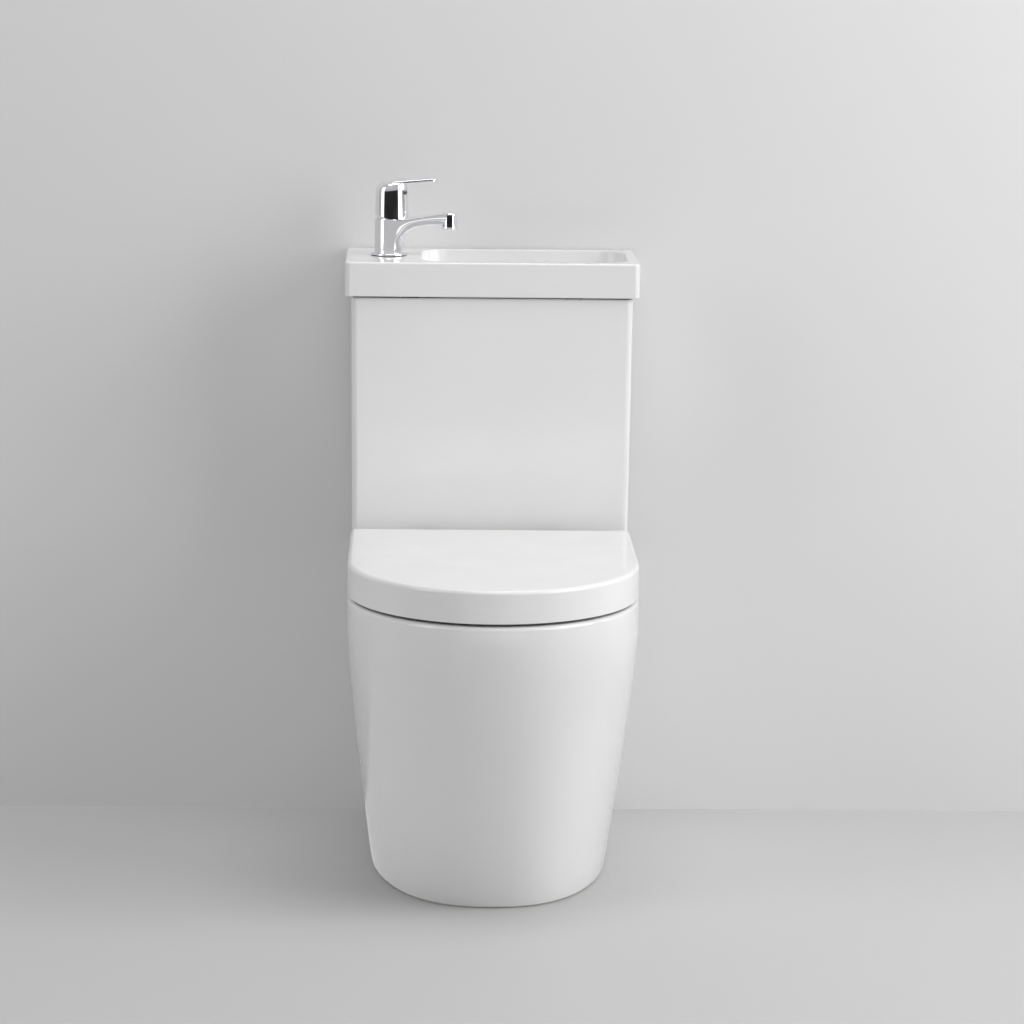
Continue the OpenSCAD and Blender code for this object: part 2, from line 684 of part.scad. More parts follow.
module basin() color(ceramic) difference() {
    loft(concat(
        [wash(flange_r + 2, flange_r + 2, 2, wash_z), wash(dip_a * 0.42, dip_b * 0.52, 2.3, wash_z + 1.5),
         wash(dip_a * 0.66, dip_b * 0.70, 2.8, wash_z + 6),
         wash(dip_a - wash_wall - 12, dip_b - wash_wall - 7, 4, wash_z + 17),
         wash(dip_a - wash_wall - 1, dip_b - wash_wall, 5, basin_z),
         wash(wash_w / 2 - 6, wash_l / 2 - 4, 6, basin_z + basin_h / 2)],
        [for (a = [0 : 45 : 90]) wash(wash_w / 2 - 2 + 3 * (1 - cos(a)), wash_l / 2 - 2 + 3 * (1 - cos(a)),
                                      7, basin_top - 3 * (1 - sin(a)))],
        [for (a = [90 : -30 : 0]) apron(basin_edge_r * (1 - cos(a)), basin_top - basin_edge_r * (1 - sin(a)))],
        [apron(0, basin_z + 1.5), apron(1.5, basin_z)],
        [wash(dip_a, dip_b, 6, basin_z), wash(dip_a - 6, dip_b - 3, 5, wash_z + 15),
         wash(dip_a * 0.74, dip_b * 0.80, 3, wash_under + 9),
         wash(dip_a * 0.46, dip_b * 0.60, 2.4, wash_under + 1.5),
         wash(flange_r + 5, flange_r + 5, 2, wash_under)]));
    place(wash_x, tank_mid) rod(waste_r, wash_under - over, wash_z + over);
    place(-tap_x, tank_mid) rod(tap_hole_d / 2, basin_z, basin_top + over);
    // Hollow under the tap's deck
    translate([0, 0, basin_z - over]) linear_extrude(basin_h - deck_ceramic + over)
        polygon([for (p = box_outline(pocket_left, pocket_right, 22, basin_depth - 22, 14)) [p[0], wall_y - p[1]]]);
}
deck_ceramic = 13;
pocket_left = 20 - basin_w / 2;
pocket_right = wash_x - wash_w / 2 - wash_wall;

front_pad_x = 0.29 * cistern_w;
module basin_pads() color(rubber) {
    half = cistern_w / 2 - cistern_wall / 2;
    for (s = [-1, 1], d = [cistern_back + 40, cistern_front - 40])
        place(s * half, d, cistern_top) translate([-3, -12, 0]) cube([6, 24, pad_t]);
    for (s = [-1, 1])
        place(s * front_pad_x, cistern_front - cistern_wall / 2, cistern_top) translate([-12, -3, 0])
            cube([24, 6, pad_t]);
}

// ---- Waste of the basin ----

waste_t = 2.5;
module basin_waste() color(chrome) place(wash_x, tank_mid) difference() {
    union() {
        translate([0, 0, wash_z]) cylinder(r1 = flange_r, r2 = flange_r - 2, h = waste_t);
        rod(waste_r - 0.5, wash_under - 35, wash_z + 1);
    }
    rod(waste_r - 3, wash_under - 35 - over, wash_z - 1);
    rod(3, wash_z - 2, wash_z + waste_t + over);
    for (a = [0 : 60 : 300]) rotate(a) translate([8, 0]) rod(3, wash_z - 2, wash_z + waste_t + over);
}
module waste_seal() color(rubber) place(wash_x, tank_mid)
    tube(flange_r + 2, waste_r - 0.5, wash_under - 3, wash_under);
module waste_back_nut() color(brass) place(wash_x, tank_mid)
    hex_nut(2 * flange_r, waste_r - 0.5, wash_under - 12, wash_under - 3);
module waste_tail() color(plastic) place(wash_x, tank_mid) {
    tube(waste_r + 2, waste_r - 0.5, wash_under - 34, wash_under - 18);
    tube(waste_r + 2, tail_r - 2, wash_under - 38, wash_under - 35);
    tube(tail_r, tail_r - 2, overflow_top - 8, wash_under - 35);
}
tail_r = 10;

// ---- Tap: heights are above the basin's deck, 0 is the column's axis ----

module tap_frame() { place(-tap_x, tank_mid, basin_top) children(); }
column_r = column_d / 2;
// How much wider the column is at its foot
column_flare = 0.5;
ring_t = 4;
seal_t = 1;
tap_shank_r = tap_hole_d / 2 - 1.5;
cartridge_r = 12.5;
nut_r = 15;
nut_seat = column_h - 6;
// Centre about which the lever lifts and turns, and its ball
pivot_h = column_h + 4;
ball_r = hood_d / 2 - 2.4;

module tap_base_ring() color(chrome) tap_frame() rotate_extrude()
    polygon([[tap_shank_r, seal_t], [column_r + 5, seal_t], [column_r + 5, seal_t + 1.5],
             [column_r + 3, ring_t], [tap_shank_r, ring_t]]);
module tap_base_seal() color(rubber) tap_frame() tube(column_r + 4, tap_shank_r, 0, seal_t);

// Spout: level with the column's top at its root, and arched below
spout_rise = 9;
arch_start = -7;
arch_foot = 5;
arch_top = column_h - 7;
tip_r = aerator_d / 2;
tip_low = column_h - 10;
function spout_top(x) = column_h - run + spout_rise * max(0, x - column_r) / (spout_reach - column_r);
function spout_low(x) = let (t = (x - arch_start) / (spout_reach - tip_r - arch_start))
    arch_top - (arch_top - arch_foot) * pow(max(0, 1 - t), 3);
// Outline of the spout at distance x from the axis: rounded above, nearly square below
function spout_ring(x) =
    let (top = spout_top(x), low = spout_low(x),
         half = mix(column_r, tip_r - 0.5, x / (spout_reach - tip_r)))
    [for (k = [0 : 23]) let (a = -360 * k / 24, n = sin(a) < 0 ? 5 : 2.6)
        [x, -half * bend(cos(a), n), (top + low) / 2 + (top - low) / 2 * bend(sin(a), n)]];
spout_shares = [0.03, 0.08, 0.13, 0.19, 0.26, 0.34, 0.45, 0.58, 0.72, 0.86, 1];

module tap_body() color(chrome) tap_frame() difference() {
    union() {
        translate([0, 0, ring_t])
            cylinder(r1 = column_r + column_flare, r2 = column_r, h = column_h - ring_t);
        rod(tap_shank_r, -6, ring_t);
        loft([for (share = spout_shares) spout_ring(share * (spout_reach - tip_r / 2))]);
        translate([spout_reach, 0]) rotate_extrude()
            polygon(concat([[0, tip_low], [tip_r, tip_low]],
                [for (a = [0 : 15 : 90]) [tip_r - 3 * (1 - cos(a)), spout_top(spout_reach) - 3 + 3 * sin(a)]],
                [[0, spout_top(spout_reach)]]));
    }
    rod(cartridge_r, 22, column_h + over);
    rod(nut_r, nut_seat, column_h + over);
    // Water ways up to the cartridge and out along the spout
    for (s = [-1, 1]) translate([s * 7, -4]) rod(port_r, -6 - over, 22 + over);
    translate([0, 9]) rod(stud_r, -6 - over, 6);
    translate([0, 0, channel_h]) rotate([0, 90 - channel_tilt, 0]) rod(channel_r, 0, spout_reach);
    translate([spout_reach, 0]) rod(tip_r - 2, tip_low - over, tip_low + 10);
}
port_r = 4.5;
// The water's way along the spout ends in the middle of its tip
channel_r = 2.5;
channel_h = column_h - 11;
channel_tilt = atan(((spout_top(spout_reach) + arch_top) / 2 - channel_h) / spout_reach);
stud_r = 3;

module tap_aerator() color(chrome) tap_frame() translate([spout_reach, 0]) {
    difference() {
        union() {
            rod(tip_r, tip_low - 4, tip_low);
            rod(tip_r - 2, tip_low - 1, tip_low + 7);
        }
        rod(tip_r - 4, tip_low - 4 - over, tip_low + 3);
    }
    for (a = [0 : 45 : 135]) rotate(a)
        translate([-tip_r + 3, -0.6, tip_low]) cube([2 * tip_r - 6, 1.2, 3]);
}

module tap_cartridge() color(plastic) tap_frame() difference() {
    union() {
        rod(cartridge_r, 22.5, nut_seat - 3);
        rod(cartridge_r - 2, 22.5, nut_seat);
    }
    for (s = [-1, 1]) translate([s * 7, -4]) rod(port_r - 1, 21, 34);
}

// Chromed nut that holds the cartridge, domed about the lever's centre
dome_rise = 9;
function ball_at(h) = sqrt(ball_r * ball_r - h * h);
module tap_dome_nut() color(chrome) tap_frame() rotate_extrude()
    polygon(concat([[rotor_r + 1.5, nut_seat + gap], [nut_r, nut_seat + gap], [nut_r, column_h + gap]],
        [for (k = [0 : 8]) let (h = mix(column_h + gap - pivot_h, dome_rise, k / 8)) [ball_at(h), pivot_h + h]],
        [[rotor_r + 1.5, pivot_h + dome_rise]]));

rotor_r = 7;
eye_w = 6;
pin_r = 2;
module tap_rotor() color(brass) tap_frame() {
    difference() {
        rod(rotor_r, nut_seat + 2 * gap, pivot_h + 3);
        translate([-rotor_r - over, -eye_w / 2 - gap, pivot_h - 7])
            cube([2 * (rotor_r + over), eye_w + 2 * gap, 12]);
    }
    translate([0, 0, pivot_h]) rotate([90, 0, 0]) rod(pin_r, -rotor_r + 0.5, rotor_r - 0.5);
}

hood_r = hood_d / 2;
hood_z = column_h + 0.5;
hood_top = column_h + hood_h;
cavity_r = hood_r - 1.8;
// The hood's nose, over the spout's root, and the rounding round its top
nose_r = 14;
nose_x = 13;
hood_round = 12;
hood_taper = 1.2;
// Slope of the hood's edge away from the spout, which clears the column when the lever lifts
hood_relief = 20;
module tap_lever() color(chrome) tap_frame() {
    difference() {
        union() {
            hull() {
                rounded_post(hood_r, hood_z, hood_top, hood_round, hood_taper);
                translate([nose_x, 0]) rounded_post(nose_r, hood_z + 2, hood_top + 1, 3, 0);
            }
            blade();
        }
        rotate_extrude() polygon(concat([[0, hood_z - over], [cavity_r, hood_z - over]],
            [for (a = [0 : 15 : 45]) [cavity_r * cos(a), pivot_h + cavity_r * sin(a)]],
            [[cavity_r * cos(45), hood_top - 10], [0, hood_top - 8]]));
        dot_frame() rod(dot_r, nose_r - 1.5, nose_r + over);
        // Raised edge away from the spout
        translate([0, 0, hood_z]) rotate([0, hood_relief, 0])
            translate([-2 * hood_d, -hood_d, -hood_d]) cube([2 * hood_d, 2 * hood_d, hood_d]);
    }
    // Stem and eye on the rotor's pin
    difference() {
        union() {
            rod(eye_w / 2, pivot_h + pin_r, hood_top - 6);
            translate([0, 0, pivot_h]) rotate([90, 0, 0]) rod(pin_r + 2, -eye_w / 2, eye_w / 2);
        }
        translate([0, 0, pivot_h]) rotate([90, 0, 0]) rod(pin_r + run, -eye_w, eye_w);
    }
}
// Upright post that narrows by a taper up to its rounded top edge
module rounded_post(r, z0, z1, round, taper) {
    rotate_extrude() polygon(concat([[0, z0], [r, z0]],
        [for (a = [0 : 15 : 90])
            [r - taper - round * (1 - cos(a)), z1 - round + round * sin(a)]], [[0, z1]]));
}
// Flat blade of the lever, rising a little from the hood to its tip
blade_r = [12, 10, 8.5];
blade_x = [8, blade_l - 27, blade_l - blade_r[2]];
blade_low = [hood_top - 3, hood_top - 0.5, hood_top + 1];
blade_high = [hood_top + 1, hood_top + 4, hood_top + 5.6];
module blade() {
    for (i = [0, 1]) hull() for (k = [i, i + 1])
        translate([blade_x[k], 0]) rod(blade_r[k], blade_low[k], blade_high[k]);
}
dot_r = 3;
module dot_frame() { translate([nose_x, 0, hood_top - 13]) rotate([0, 90, -50]) children(); }
module tap_indicator() color("dimgray") tap_frame() dot_frame() rod(dot_r, nose_r - 1.5, nose_r + 0.3);

// Fixing of the tap under the deck
stud_y = 9;
under_deck = basin_h - deck_ceramic;
module tap_stud() color(brass) tap_frame() translate([0, stud_y]) rod(stud_r, -under_deck, 6);
module tap_washer() color(chrome) tap_frame() difference() {
    rod(tap_hole_d / 2 + 5, -deck_ceramic - 3, -deck_ceramic);
    translate([0, stud_y]) rod(stud_r + 0.5, -deck_ceramic - 4, 0);
    translate([-tap_shank_r + 3, -tap_hole_d, -deck_ceramic - 4])
        cube([2 * tap_shank_r - 6, tap_hole_d + 3, 6]);
}
module tap_nut() color(brass) tap_frame() translate([0, stud_y])
    hex_nut(11, stud_r, -deck_ceramic - 11, -deck_ceramic - 3);

// ---- Seat, lid and hinge ----

seat_half = pan_w / 2 - lid_wall - 5.5;
seat_front = projection - lid_wall - 6;
seat_back = hinge_depth + 20;
seat_mid = bowl_mid - 6;
seat_r = 40;
function seat_outer(inset, z) =
    lift(d_outline(seat_half, pan_mid, seat_front, 2, seat_back, seat_r, inset), z);
seat_angles = bearings(d_outline(seat_half, pan_mid, seat_front, 2, seat_back, seat_r), 0, seat_mid);
function seat_inner(grow, z) =
    oval(seat_angles, 0, seat_mid, seat_open_w / 2 + grow, seat_open_l / 2 + grow, 2.2, z);

// Knuckles from x0 to x1 on the hinge axis, at one side s
module knuckle(s, x0, x1, r) {
    place(s * (x0 + x1) / 2, hinge_depth, hinge_z) rotate([0, 90, 0]) rod(r, (x0 - x1) / 2, (x1 - x0) / 2);
}
knuckle_r = knuckle_d / 2;
hinge_x = hinge_spacing / 2;
post_half = 11.5;
ear_w = 15;
ear_gap = 1;
ear_in = [hinge_x - post_half - ear_gap - ear_w, hinge_x - post_half - ear_gap];
ear_out = [hinge_x + post_half + ear_gap, hinge_x + post_half + ear_gap + ear_w];
module pin_bores(r) {
    for (s = [-1, 1]) knuckle(s, ear_in[0] - over, ear_out[1] + over, r);
}

module seat() color(plastic) difference() {
    union() {
        loft([seat_outer(6, seat_top), seat_outer(1.8, seat_top - 1.8), seat_outer(0, seat_top - 6),
              seat_outer(0, seat_z + 5), seat_outer(1.5, seat_z + 1.5), seat_outer(5, seat_z),
              seat_inner(4, seat_z), seat_inner(1, seat_z + 1.5), seat_inner(0, seat_z + 5),
              seat_inner(1, seat_top - 7), seat_inner(4, seat_top - 2.5), seat_inner(10, seat_top)], true);
        for (s = [-1, 1]) {
            knuckle(s, ear_out[0], ear_out[1], knuckle_r);
            place(s * (ear_out[0] + ear_out[1]) / 2, seat_back + 12, seat_z + 3)
                translate([-ear_w / 2, 0, 0]) cube([ear_w, seat_back + 12 - hinge_depth, seat_t - 5]);
        }
    }
    pin_bores(hinge_pin_d / 2 + run);
}

lid_r = 5.5;
cover_r = post_half + 2.5;
// Notches in the lid's rear wall, which swings through the hinge posts when it opens
notch_half = cover_r + 3;
lid_half = pan_w / 2 - 0.5;
lid_front = projection - 1;
function lid_ring(inset, z) = lift(d_outline(lid_half, pan_mid, lid_front, 2, lid_back, rear_r, inset), z);
module lid() color(plastic) difference() {
    union() {
        difference() {
            loft(concat([for (a = [90 : -30 : 0]) lid_ring(lid_r * (1 - cos(a)), lid_top - lid_r * (1 - sin(a)))],
                [lid_ring(0, lid_z + 1), lid_ring(1, lid_z), lid_ring(lid_wall - 0.5, lid_z),
                 lid_ring(lid_wall, lid_z + 1), lid_ring(lid_wall, lid_under - 4),
                 lid_ring(lid_wall + 1.2, lid_under - 1.2), lid_ring(lid_wall + 4, lid_under)]));
            // Rounded lower corner behind the axis, which swings clear of the pan
            difference() {
                place(-pan_w, hinge_depth, lid_z - over) cube([2 * pan_w, hinge_depth, hinge_z - lid_z + over]);
                place(-pan_w - over, hinge_depth, hinge_z) rotate([0, 90, 0])
                    rod(hinge_rise - 0.5, 0, 2 * pan_w + 2 * over);
            }
            for (s = [-1, 1]) place(s * hinge_x - notch_half, lid_back + lid_wall + 5, lid_z - over)
                cube([2 * notch_half, lid_wall + 5 + over, lid_under - lid_z + over]);
        }
        for (s = [-1, 1]) {
            knuckle(s, ear_in[0], ear_in[1], knuckle_r);
            place(s * (ear_in[0] + ear_in[1]) / 2, hinge_depth + knuckle_r - 2, hinge_z)
                translate([-ear_w / 2, 0, 0]) cube([ear_w, 2 * knuckle_r - 4, lid_under + 1 - hinge_z]);
        }
    }
    pin_bores(hinge_pin_d / 2 + run);
}

// Places of the buffers: share of the seat's half width, and depth
seat_buffer_r = 9;
lid_buffer_r = 7;
seat_buffer_places = [[0.77, mix(seat_back, pan_mid, 0.4)], [0.58, mix(pan_mid, seat_front, 0.66)]];
lid_buffer_places = [[0.78, mix(seat_back, pan_mid, 0.25)], [0.49, mix(pan_mid, seat_front, 0.71)]];
module seat_buffers() color(rubber) for (s = [-1, 1], p = seat_buffer_places)
    place(s * p[0] * seat_half, p[1]) rod(seat_buffer_r, pan_h + gap, seat_z);
module lid_buffers() color(rubber) for (s = [-1, 1], p = lid_buffer_places)
    place(s * p[0] * seat_half, p[1]) rod(lid_buffer_r, seat_top + gap, lid_under);

// Reach of the hinge bolts under the deck and into the posts
bolt_below = 30;
bolt_above = 12;
module hinge_posts() color(chrome) difference() {
    for (s = [-1, 1]) {
        knuckle(s, hinge_x - post_half, hinge_x + post_half, knuckle_r);
        place(s * hinge_x, hinge_depth) rod(post_half - 1, pan_h, hinge_z);
    }
    pin_bores(hinge_pin_d / 2);
    for (s = [-1, 1]) place(s * hinge_x, hinge_depth) rod(bolt_d / 2, pan_h - over, pan_h + bolt_above);
}
module hinge_pins() color(brass) for (s = [-1, 1])
    knuckle(s, ear_in[0] + 1, ear_out[1] - 1, hinge_pin_d / 2);
module hinge_covers() color(chrome) for (s = [-1, 1]) place(s * hinge_x, hinge_depth)
    rotate_extrude() polygon([[post_half - 1, pan_h], [cover_r, pan_h], [cover_r, pan_h + 3],
                              [cover_r - 1.5, pan_h + 4.5], [post_half - 1, pan_h + 4.5]]);
module hinge_bolts() color(brass) for (s = [-1, 1]) place(s * hinge_x, hinge_depth)
    rod(bolt_d / 2, deck_under - bolt_below, pan_h + bolt_above);
module hinge_washers() color(rubber) for (s = [-1, 1]) place(s * hinge_x, hinge_depth)
    tube(bolt_washer_r, bolt_d / 2, deck_under - bolt_washer_t, deck_under);
module hinge_nuts() color(plastic) for (s = [-1, 1]) place(s * hinge_x, hinge_depth)
    finger_nut(finger_r, bolt_d / 2, deck_under - bolt_washer_t - finger_t, deck_under - bolt_washer_t);

// ---- Fixing to the floor ----

screw_head_r = side_screw_d / 2 + 1.5;
bracket_t = 3;
bracket_w = 40;
bracket_h = 64;
bracket_foot = 36;
// Inner face of the skirt where the bracket stands
bracket_x = mix(pan_w, foot_w, narrow(0)) / 2 - pan_wall - 1;
module floor_brackets() color(chrome) for (s = [-1, 1]) mirror([s < 0 ? 1 : 0, 0, 0])
    place(bracket_x, side_screw_depth) difference() {
        union() {
            translate([-bracket_t, -bracket_w / 2, 0]) cube([bracket_t, bracket_w, bracket_h]);
            translate([-bracket_foot, -bracket_w / 2, 0]) cube([bracket_foot, bracket_w, bracket_t]);
        }
        translate([-bracket_foot / 2 - 2, 0]) rod(bracket_hole_d / 2, -over, bracket_t + over);
        translate([0, 0, side_screw_h]) rotate([0, 90, 0]) rod(side_screw_d / 2, -bracket_t - over, over);
    }
module side_screws() color(chrome) for (s = [-1, 1]) mirror([s < 0 ? 1 : 0, 0, 0])
    place(0, side_screw_depth, side_screw_h) rotate([0, 90, 0]) {
        rod(side_screw_d / 2, bracket_x - bracket_t - 6, side_screw_half - 3);
        rod(screw_head_r, side_screw_half - 4, side_screw_half - 1);
    }
module side_caps() color(ceramic) for (s = [-1, 1]) mirror([s < 0 ? 1 : 0, 0, 0])
    place(0, side_screw_depth, side_screw_h) rotate([0, 90, 0])
        rod(side_screw_d + 2, side_screw_half + 0.9, side_screw_half + 2.5);

pan();
cistern();
basin();
lid();
seat();
seat_buffers();
lid_buffers();
hinge_posts();
hinge_pins();
hinge_covers();
hinge_bolts();
hinge_washers();
hinge_nuts();
basin_pads();
basin_waste();
waste_seal();
waste_back_nut();
waste_tail();
tap_body();
tap_base_ring();
tap_base_seal();
tap_cartridge();
tap_dome_nut();
tap_rotor();
tap_lever();
tap_indicator();
tap_aerator();
tap_stud();
tap_washer();
tap_nut();
coupling_gasket();
cistern_bolts();
bolt_washers();
wing_nuts();
flush_valve_body();
flush_valve_washer();
flush_valve_nut();
lift_tube();
valve_seal();
overflow_tube();
button_housing();
button_nut();
full_flush_button();
half_flush_button();
flush_cable();
fill_valve();
fill_float();
fill_washer();
fill_nut();
floor_brackets();
side_screws();
side_caps();
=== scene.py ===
import math

import bmesh
import bpy
from mathutils import Matrix, Vector
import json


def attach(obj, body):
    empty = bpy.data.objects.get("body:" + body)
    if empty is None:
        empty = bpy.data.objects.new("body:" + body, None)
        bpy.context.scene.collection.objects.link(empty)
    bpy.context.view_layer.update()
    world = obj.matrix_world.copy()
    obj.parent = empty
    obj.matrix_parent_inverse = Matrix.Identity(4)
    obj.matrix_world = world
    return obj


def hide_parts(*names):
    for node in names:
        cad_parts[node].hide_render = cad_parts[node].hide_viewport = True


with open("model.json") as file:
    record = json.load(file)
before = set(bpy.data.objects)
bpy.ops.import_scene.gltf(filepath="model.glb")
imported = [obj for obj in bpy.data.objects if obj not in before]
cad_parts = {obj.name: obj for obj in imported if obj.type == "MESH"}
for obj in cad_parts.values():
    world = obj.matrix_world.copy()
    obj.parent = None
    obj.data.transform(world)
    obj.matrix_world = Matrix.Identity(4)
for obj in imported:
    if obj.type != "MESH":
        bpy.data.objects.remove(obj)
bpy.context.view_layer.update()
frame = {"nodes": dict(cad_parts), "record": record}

# ----------------------------------------
# Sizes in metres. Y = WALL - depth, where depth is the distance from the wall.
# ----------------------------------------
WALL = 0.3355
RIM_Z = 0.394
TANK_DEPTH = 0.097
BASIN_TOP = 0.803
HINGE_DEPTH, HINGE_Z = 0.230, 0.420
TAP_X, TAP_Y = -0.141, WALL - TANK_DEPTH


def y_at(depth):
    return WALL - depth


# ----------------------------------------
# Modelling helpers
# ----------------------------------------
def clear():
    """Object mode, with nothing selected."""
    if bpy.context.object and bpy.context.object.mode != "OBJECT":
        bpy.ops.object.mode_set(mode="OBJECT")
    bpy.ops.object.select_all(action="DESELECT")


def take(obj):
    clear()
    obj.select_set(True)
    bpy.context.view_layer.objects.active = obj
    return obj


def pick_all():
    bpy.ops.mesh.select_all(action="SELECT")


def edit(obj):
    take(obj)
    bpy.ops.object.mode_set(mode="EDIT")
    bpy.ops.mesh.select_mode(type="FACE")
    pick_all()
    return obj


def done(obj):
    bpy.ops.object.mode_set(mode="OBJECT")
    return obj


def pick(kind, test):
    """Selects the faces, edges or vertices of which the middle and the direction pass a test."""
    bpy.ops.mesh.select_mode(type=kind)
    bpy.ops.mesh.select_all(action="DESELECT")
    mesh = bmesh.from_edit_mesh(bpy.context.object.data)
    if kind == "FACE":
        parts = [(f, f.calc_center_median(), f.normal) for f in mesh.faces]
    elif kind == "EDGE":
        parts = [(e, (e.verts[0].co + e.verts[1].co) / 2, (e.verts[1].co - e.verts[0].co).normalized())
                 for e in mesh.edges]
    else:
        parts = [(v, v.co, v.normal) for v in mesh.verts]
    for part, middle, way in parts:
        if test(middle, way):
            part.select_set(True)
    mesh.select_flush_mode()
    bmesh.update_edit_mesh(bpy.context.object.data)


def near(value, target, slack=1e-5):
    return abs(value - target) < slack


def extrude(x=0.0, y=0.0, z=0.0):
    bpy.ops.mesh.extrude_region_move(TRANSFORM_OT_translate={"value": (x, y, z)})


def bevel(width, steps, profile=0.5, clamp=True):
    bpy.ops.mesh.bevel(offset=width, offset_type="OFFSET", segments=steps, affect="EDGES",
                       clamp_overlap=clamp, profile=profile)


def round_level(level, width, steps, test=lambda at: True):
    """Rounds the flat edges at one height."""
    pick("EDGE", lambda at, way: near(at.z, level) and abs(way.z) < 0.01 and test(at))
    bevel(width, steps)


def round_corners(width, steps, test=lambda at: True):
    """Rounds the upright edges."""
    pick("EDGE", lambda at, way: abs(way.z) > 0.9 and test(at))
    bevel(width, steps)


def outward():
    pick_all()
    bpy.ops.mesh.normals_make_consistent(inside=False)


def modify(obj, kind, **settings):
    """Adds a modifier and applies it."""
    take(obj)
    modifier = obj.modifiers.new(kind.title(), kind)
    for key, value in settings.items():
        setattr(modifier, key, value)
    bpy.ops.object.modifier_apply(modifier=modifier.name)


def cut(obj, *tools, operation="DIFFERENCE"):
    """Cuts the tools out of a piece, or joins them to it, and takes the tools away."""
    for tool in tools:
        modify(obj, "BOOLEAN", operation=operation, object=tool, solver="EXACT")
        bpy.data.objects.remove(tool)
    return obj


def joined(obj, *others):
    """Makes several shells one piece."""
    if others:
        take(obj)
        for piece in others:
            piece.select_set(True)
        bpy.ops.object.join()
    return obj


def settle(obj, name):
    """Puts the object's place into its mesh."""
    take(obj)
    bpy.ops.object.transform_apply(location=True, rotation=True, scale=True)
    obj.name = name
    obj.data.name = name
    return obj


def round_bar(name, radius, low, high, x=0.0, y=0.0, sides=64):
    """Round bar along Z from low to high."""
    clear()
    bpy.ops.mesh.primitive_cylinder_add(vertices=sides, radius=radius, depth=high - low,
                                        location=(x, y, (low + high) / 2))
    return settle(bpy.context.object, name)


def block(name, low, high):
    clear()
    bpy.ops.mesh.primitive_cube_add(size=1, location=[(a + b) / 2 for a, b in zip(low, high)],
                                    scale=[b - a for a, b in zip(low, high)])
    return settle(bpy.context.object, name)


def turned(name, profile, x=0.0, y=0.0, steps=72):
    """Turns a profile of (radius, height) points about an upright axis at x, y."""
    clear()
    bpy.ops.mesh.primitive_plane_add(size=0.001, location=(0, 0, 0))
    obj = bpy.context.object
    bpy.ops.object.mode_set(mode="EDIT")
    bpy.ops.mesh.select_mode(type="VERT")
    pick_all()
    bpy.ops.mesh.merge(type="CENTER")
    bpy.ops.transform.translate(value=(profile[0][0], 0, profile[0][1]))
    for (r0, z0), (r1, z1) in zip(profile, profile[1:]):
        bpy.ops.mesh.extrude_vertices_move(TRANSFORM_OT_translate={"value": (r1 - r0, 0, z1 - z0)})
    pick_all()
    bpy.ops.mesh.spin(steps=steps, angle=math.tau, center=(0, 0, 0), axis=(0, 0, 1))
    pick_all()
    bpy.ops.mesh.remove_doubles(threshold=1e-6)
    bpy.ops.mesh.normals_make_consistent(inside=False)
    done(obj).location = (x, y, 0)
    return settle(obj, name)


def arc(r, z, radius, start, end, steps=6):
    """Points of a profile's fillet round r, z from one angle to another, in degrees."""
    angles = [math.radians(start + (end - start) * k / steps) for k in range(steps + 1)]
    return [(r + radius * math.cos(a), z + radius * math.sin(a)) for a in angles]


body_of = {node: body for body, nodes in frame["record"]["behaviour"]["bodies"].items() for node in nodes}
slot_of = {part["node"]: part["material_slot"] for part in frame["record"]["subparts"]}
modelled = set()


def ship(obj, node, angle=35, slot=None):
    """Finishes a piece that stands for a CAD node: smooth shading, the finish of the node's slot unless
    another slot is given, and the node's body; the CAD node is hidden.
    """
    slot = slot or slot_of[node]
    take(obj)
    bpy.ops.object.shade_smooth_by_angle(angle=math.radians(angle))
    obj.data.materials.clear()
    obj.data.materials.append(FINISHES[slot])
    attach(obj, body_of[node])
    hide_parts(node)
    modify(obj, "WEIGHTED_NORMAL", keep_sharp=True, weight=100)
    modelled.add(node)


def node_copy(node):
    """A copy of a CAD node with its points merged, so that its rounded faces shade smoothly."""
    obj = frame["nodes"][node].copy()
    obj.data = frame["nodes"][node].data.copy()
    bpy.context.scene.collection.objects.link(obj)
    for key in [k for k in obj.keys() if k.startswith("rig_")]:
        del obj[key]
    obj.parent = None
    obj.matrix_world = Matrix.Identity(4)
    obj.name = node + "_finished"
    edit(obj)
    bpy.ops.mesh.remove_doubles(threshold=2e-6)
    bpy.ops.mesh.customdata_custom_splitnormals_clear()
    return done(obj)


# ----------------------------------------
# Camera: the photograph's place, direction and lens
# ----------------------------------------
YAW, PITCH, ROLL = 0.02421, 0.16423, 0.01139
LENS, SENSOR = 144.76, 36
CAMERA_X, CAMERA_DEPTH, CAMERA_Z = -0.10444, 5.7395, 1.3815
right = Vector((math.cos(YAW), -math.sin(YAW), 0))
up = Vector((math.sin(YAW) * math.sin(PITCH), math.cos(YAW) * math.sin(PITCH), math.cos(PITCH)))
ahead = Vector((math.sin(YAW) * math.cos(PITCH), math.cos(YAW) * math.cos(PITCH), -math.sin(PITCH)))
rolled_right = right * math.cos(ROLL) + up * math.sin(ROLL)
rolled_up = up * math.cos(ROLL) - right * math.sin(ROLL)
lens = bpy.data.cameras.new("camera")
lens.sensor_width = SENSOR
lens.lens = LENS
camera = bpy.data.objects.new("camera", lens)
bpy.context.scene.collection.objects.link(camera)
camera.matrix_world = Matrix.Translation((CAMERA_X, y_at(CAMERA_DEPTH), CAMERA_Z)) @ Matrix(
    (rolled_right, rolled_up, -ahead)).transposed().to_4x4()
bpy.context.scene.camera = camera


# ----------------------------------------
# Finishes
# ----------------------------------------
def finish_of(name, colour, roughness, metallic=0.0, **sockets):
    material = bpy.data.materials.new(name)
    material.use_nodes = True
    tree = material.node_tree
    shader = tree.nodes["Principled BSDF"]
    shader.inputs["Base Color"].default_value = (*colour, 1)
    shader.inputs["Roughness"].default_value = roughness
    shader.inputs["Metallic"].default_value = metallic
    for key, value in sockets.items():
        shader.inputs[key.replace("_", " ")].default_value = value
    return material, tree, shader


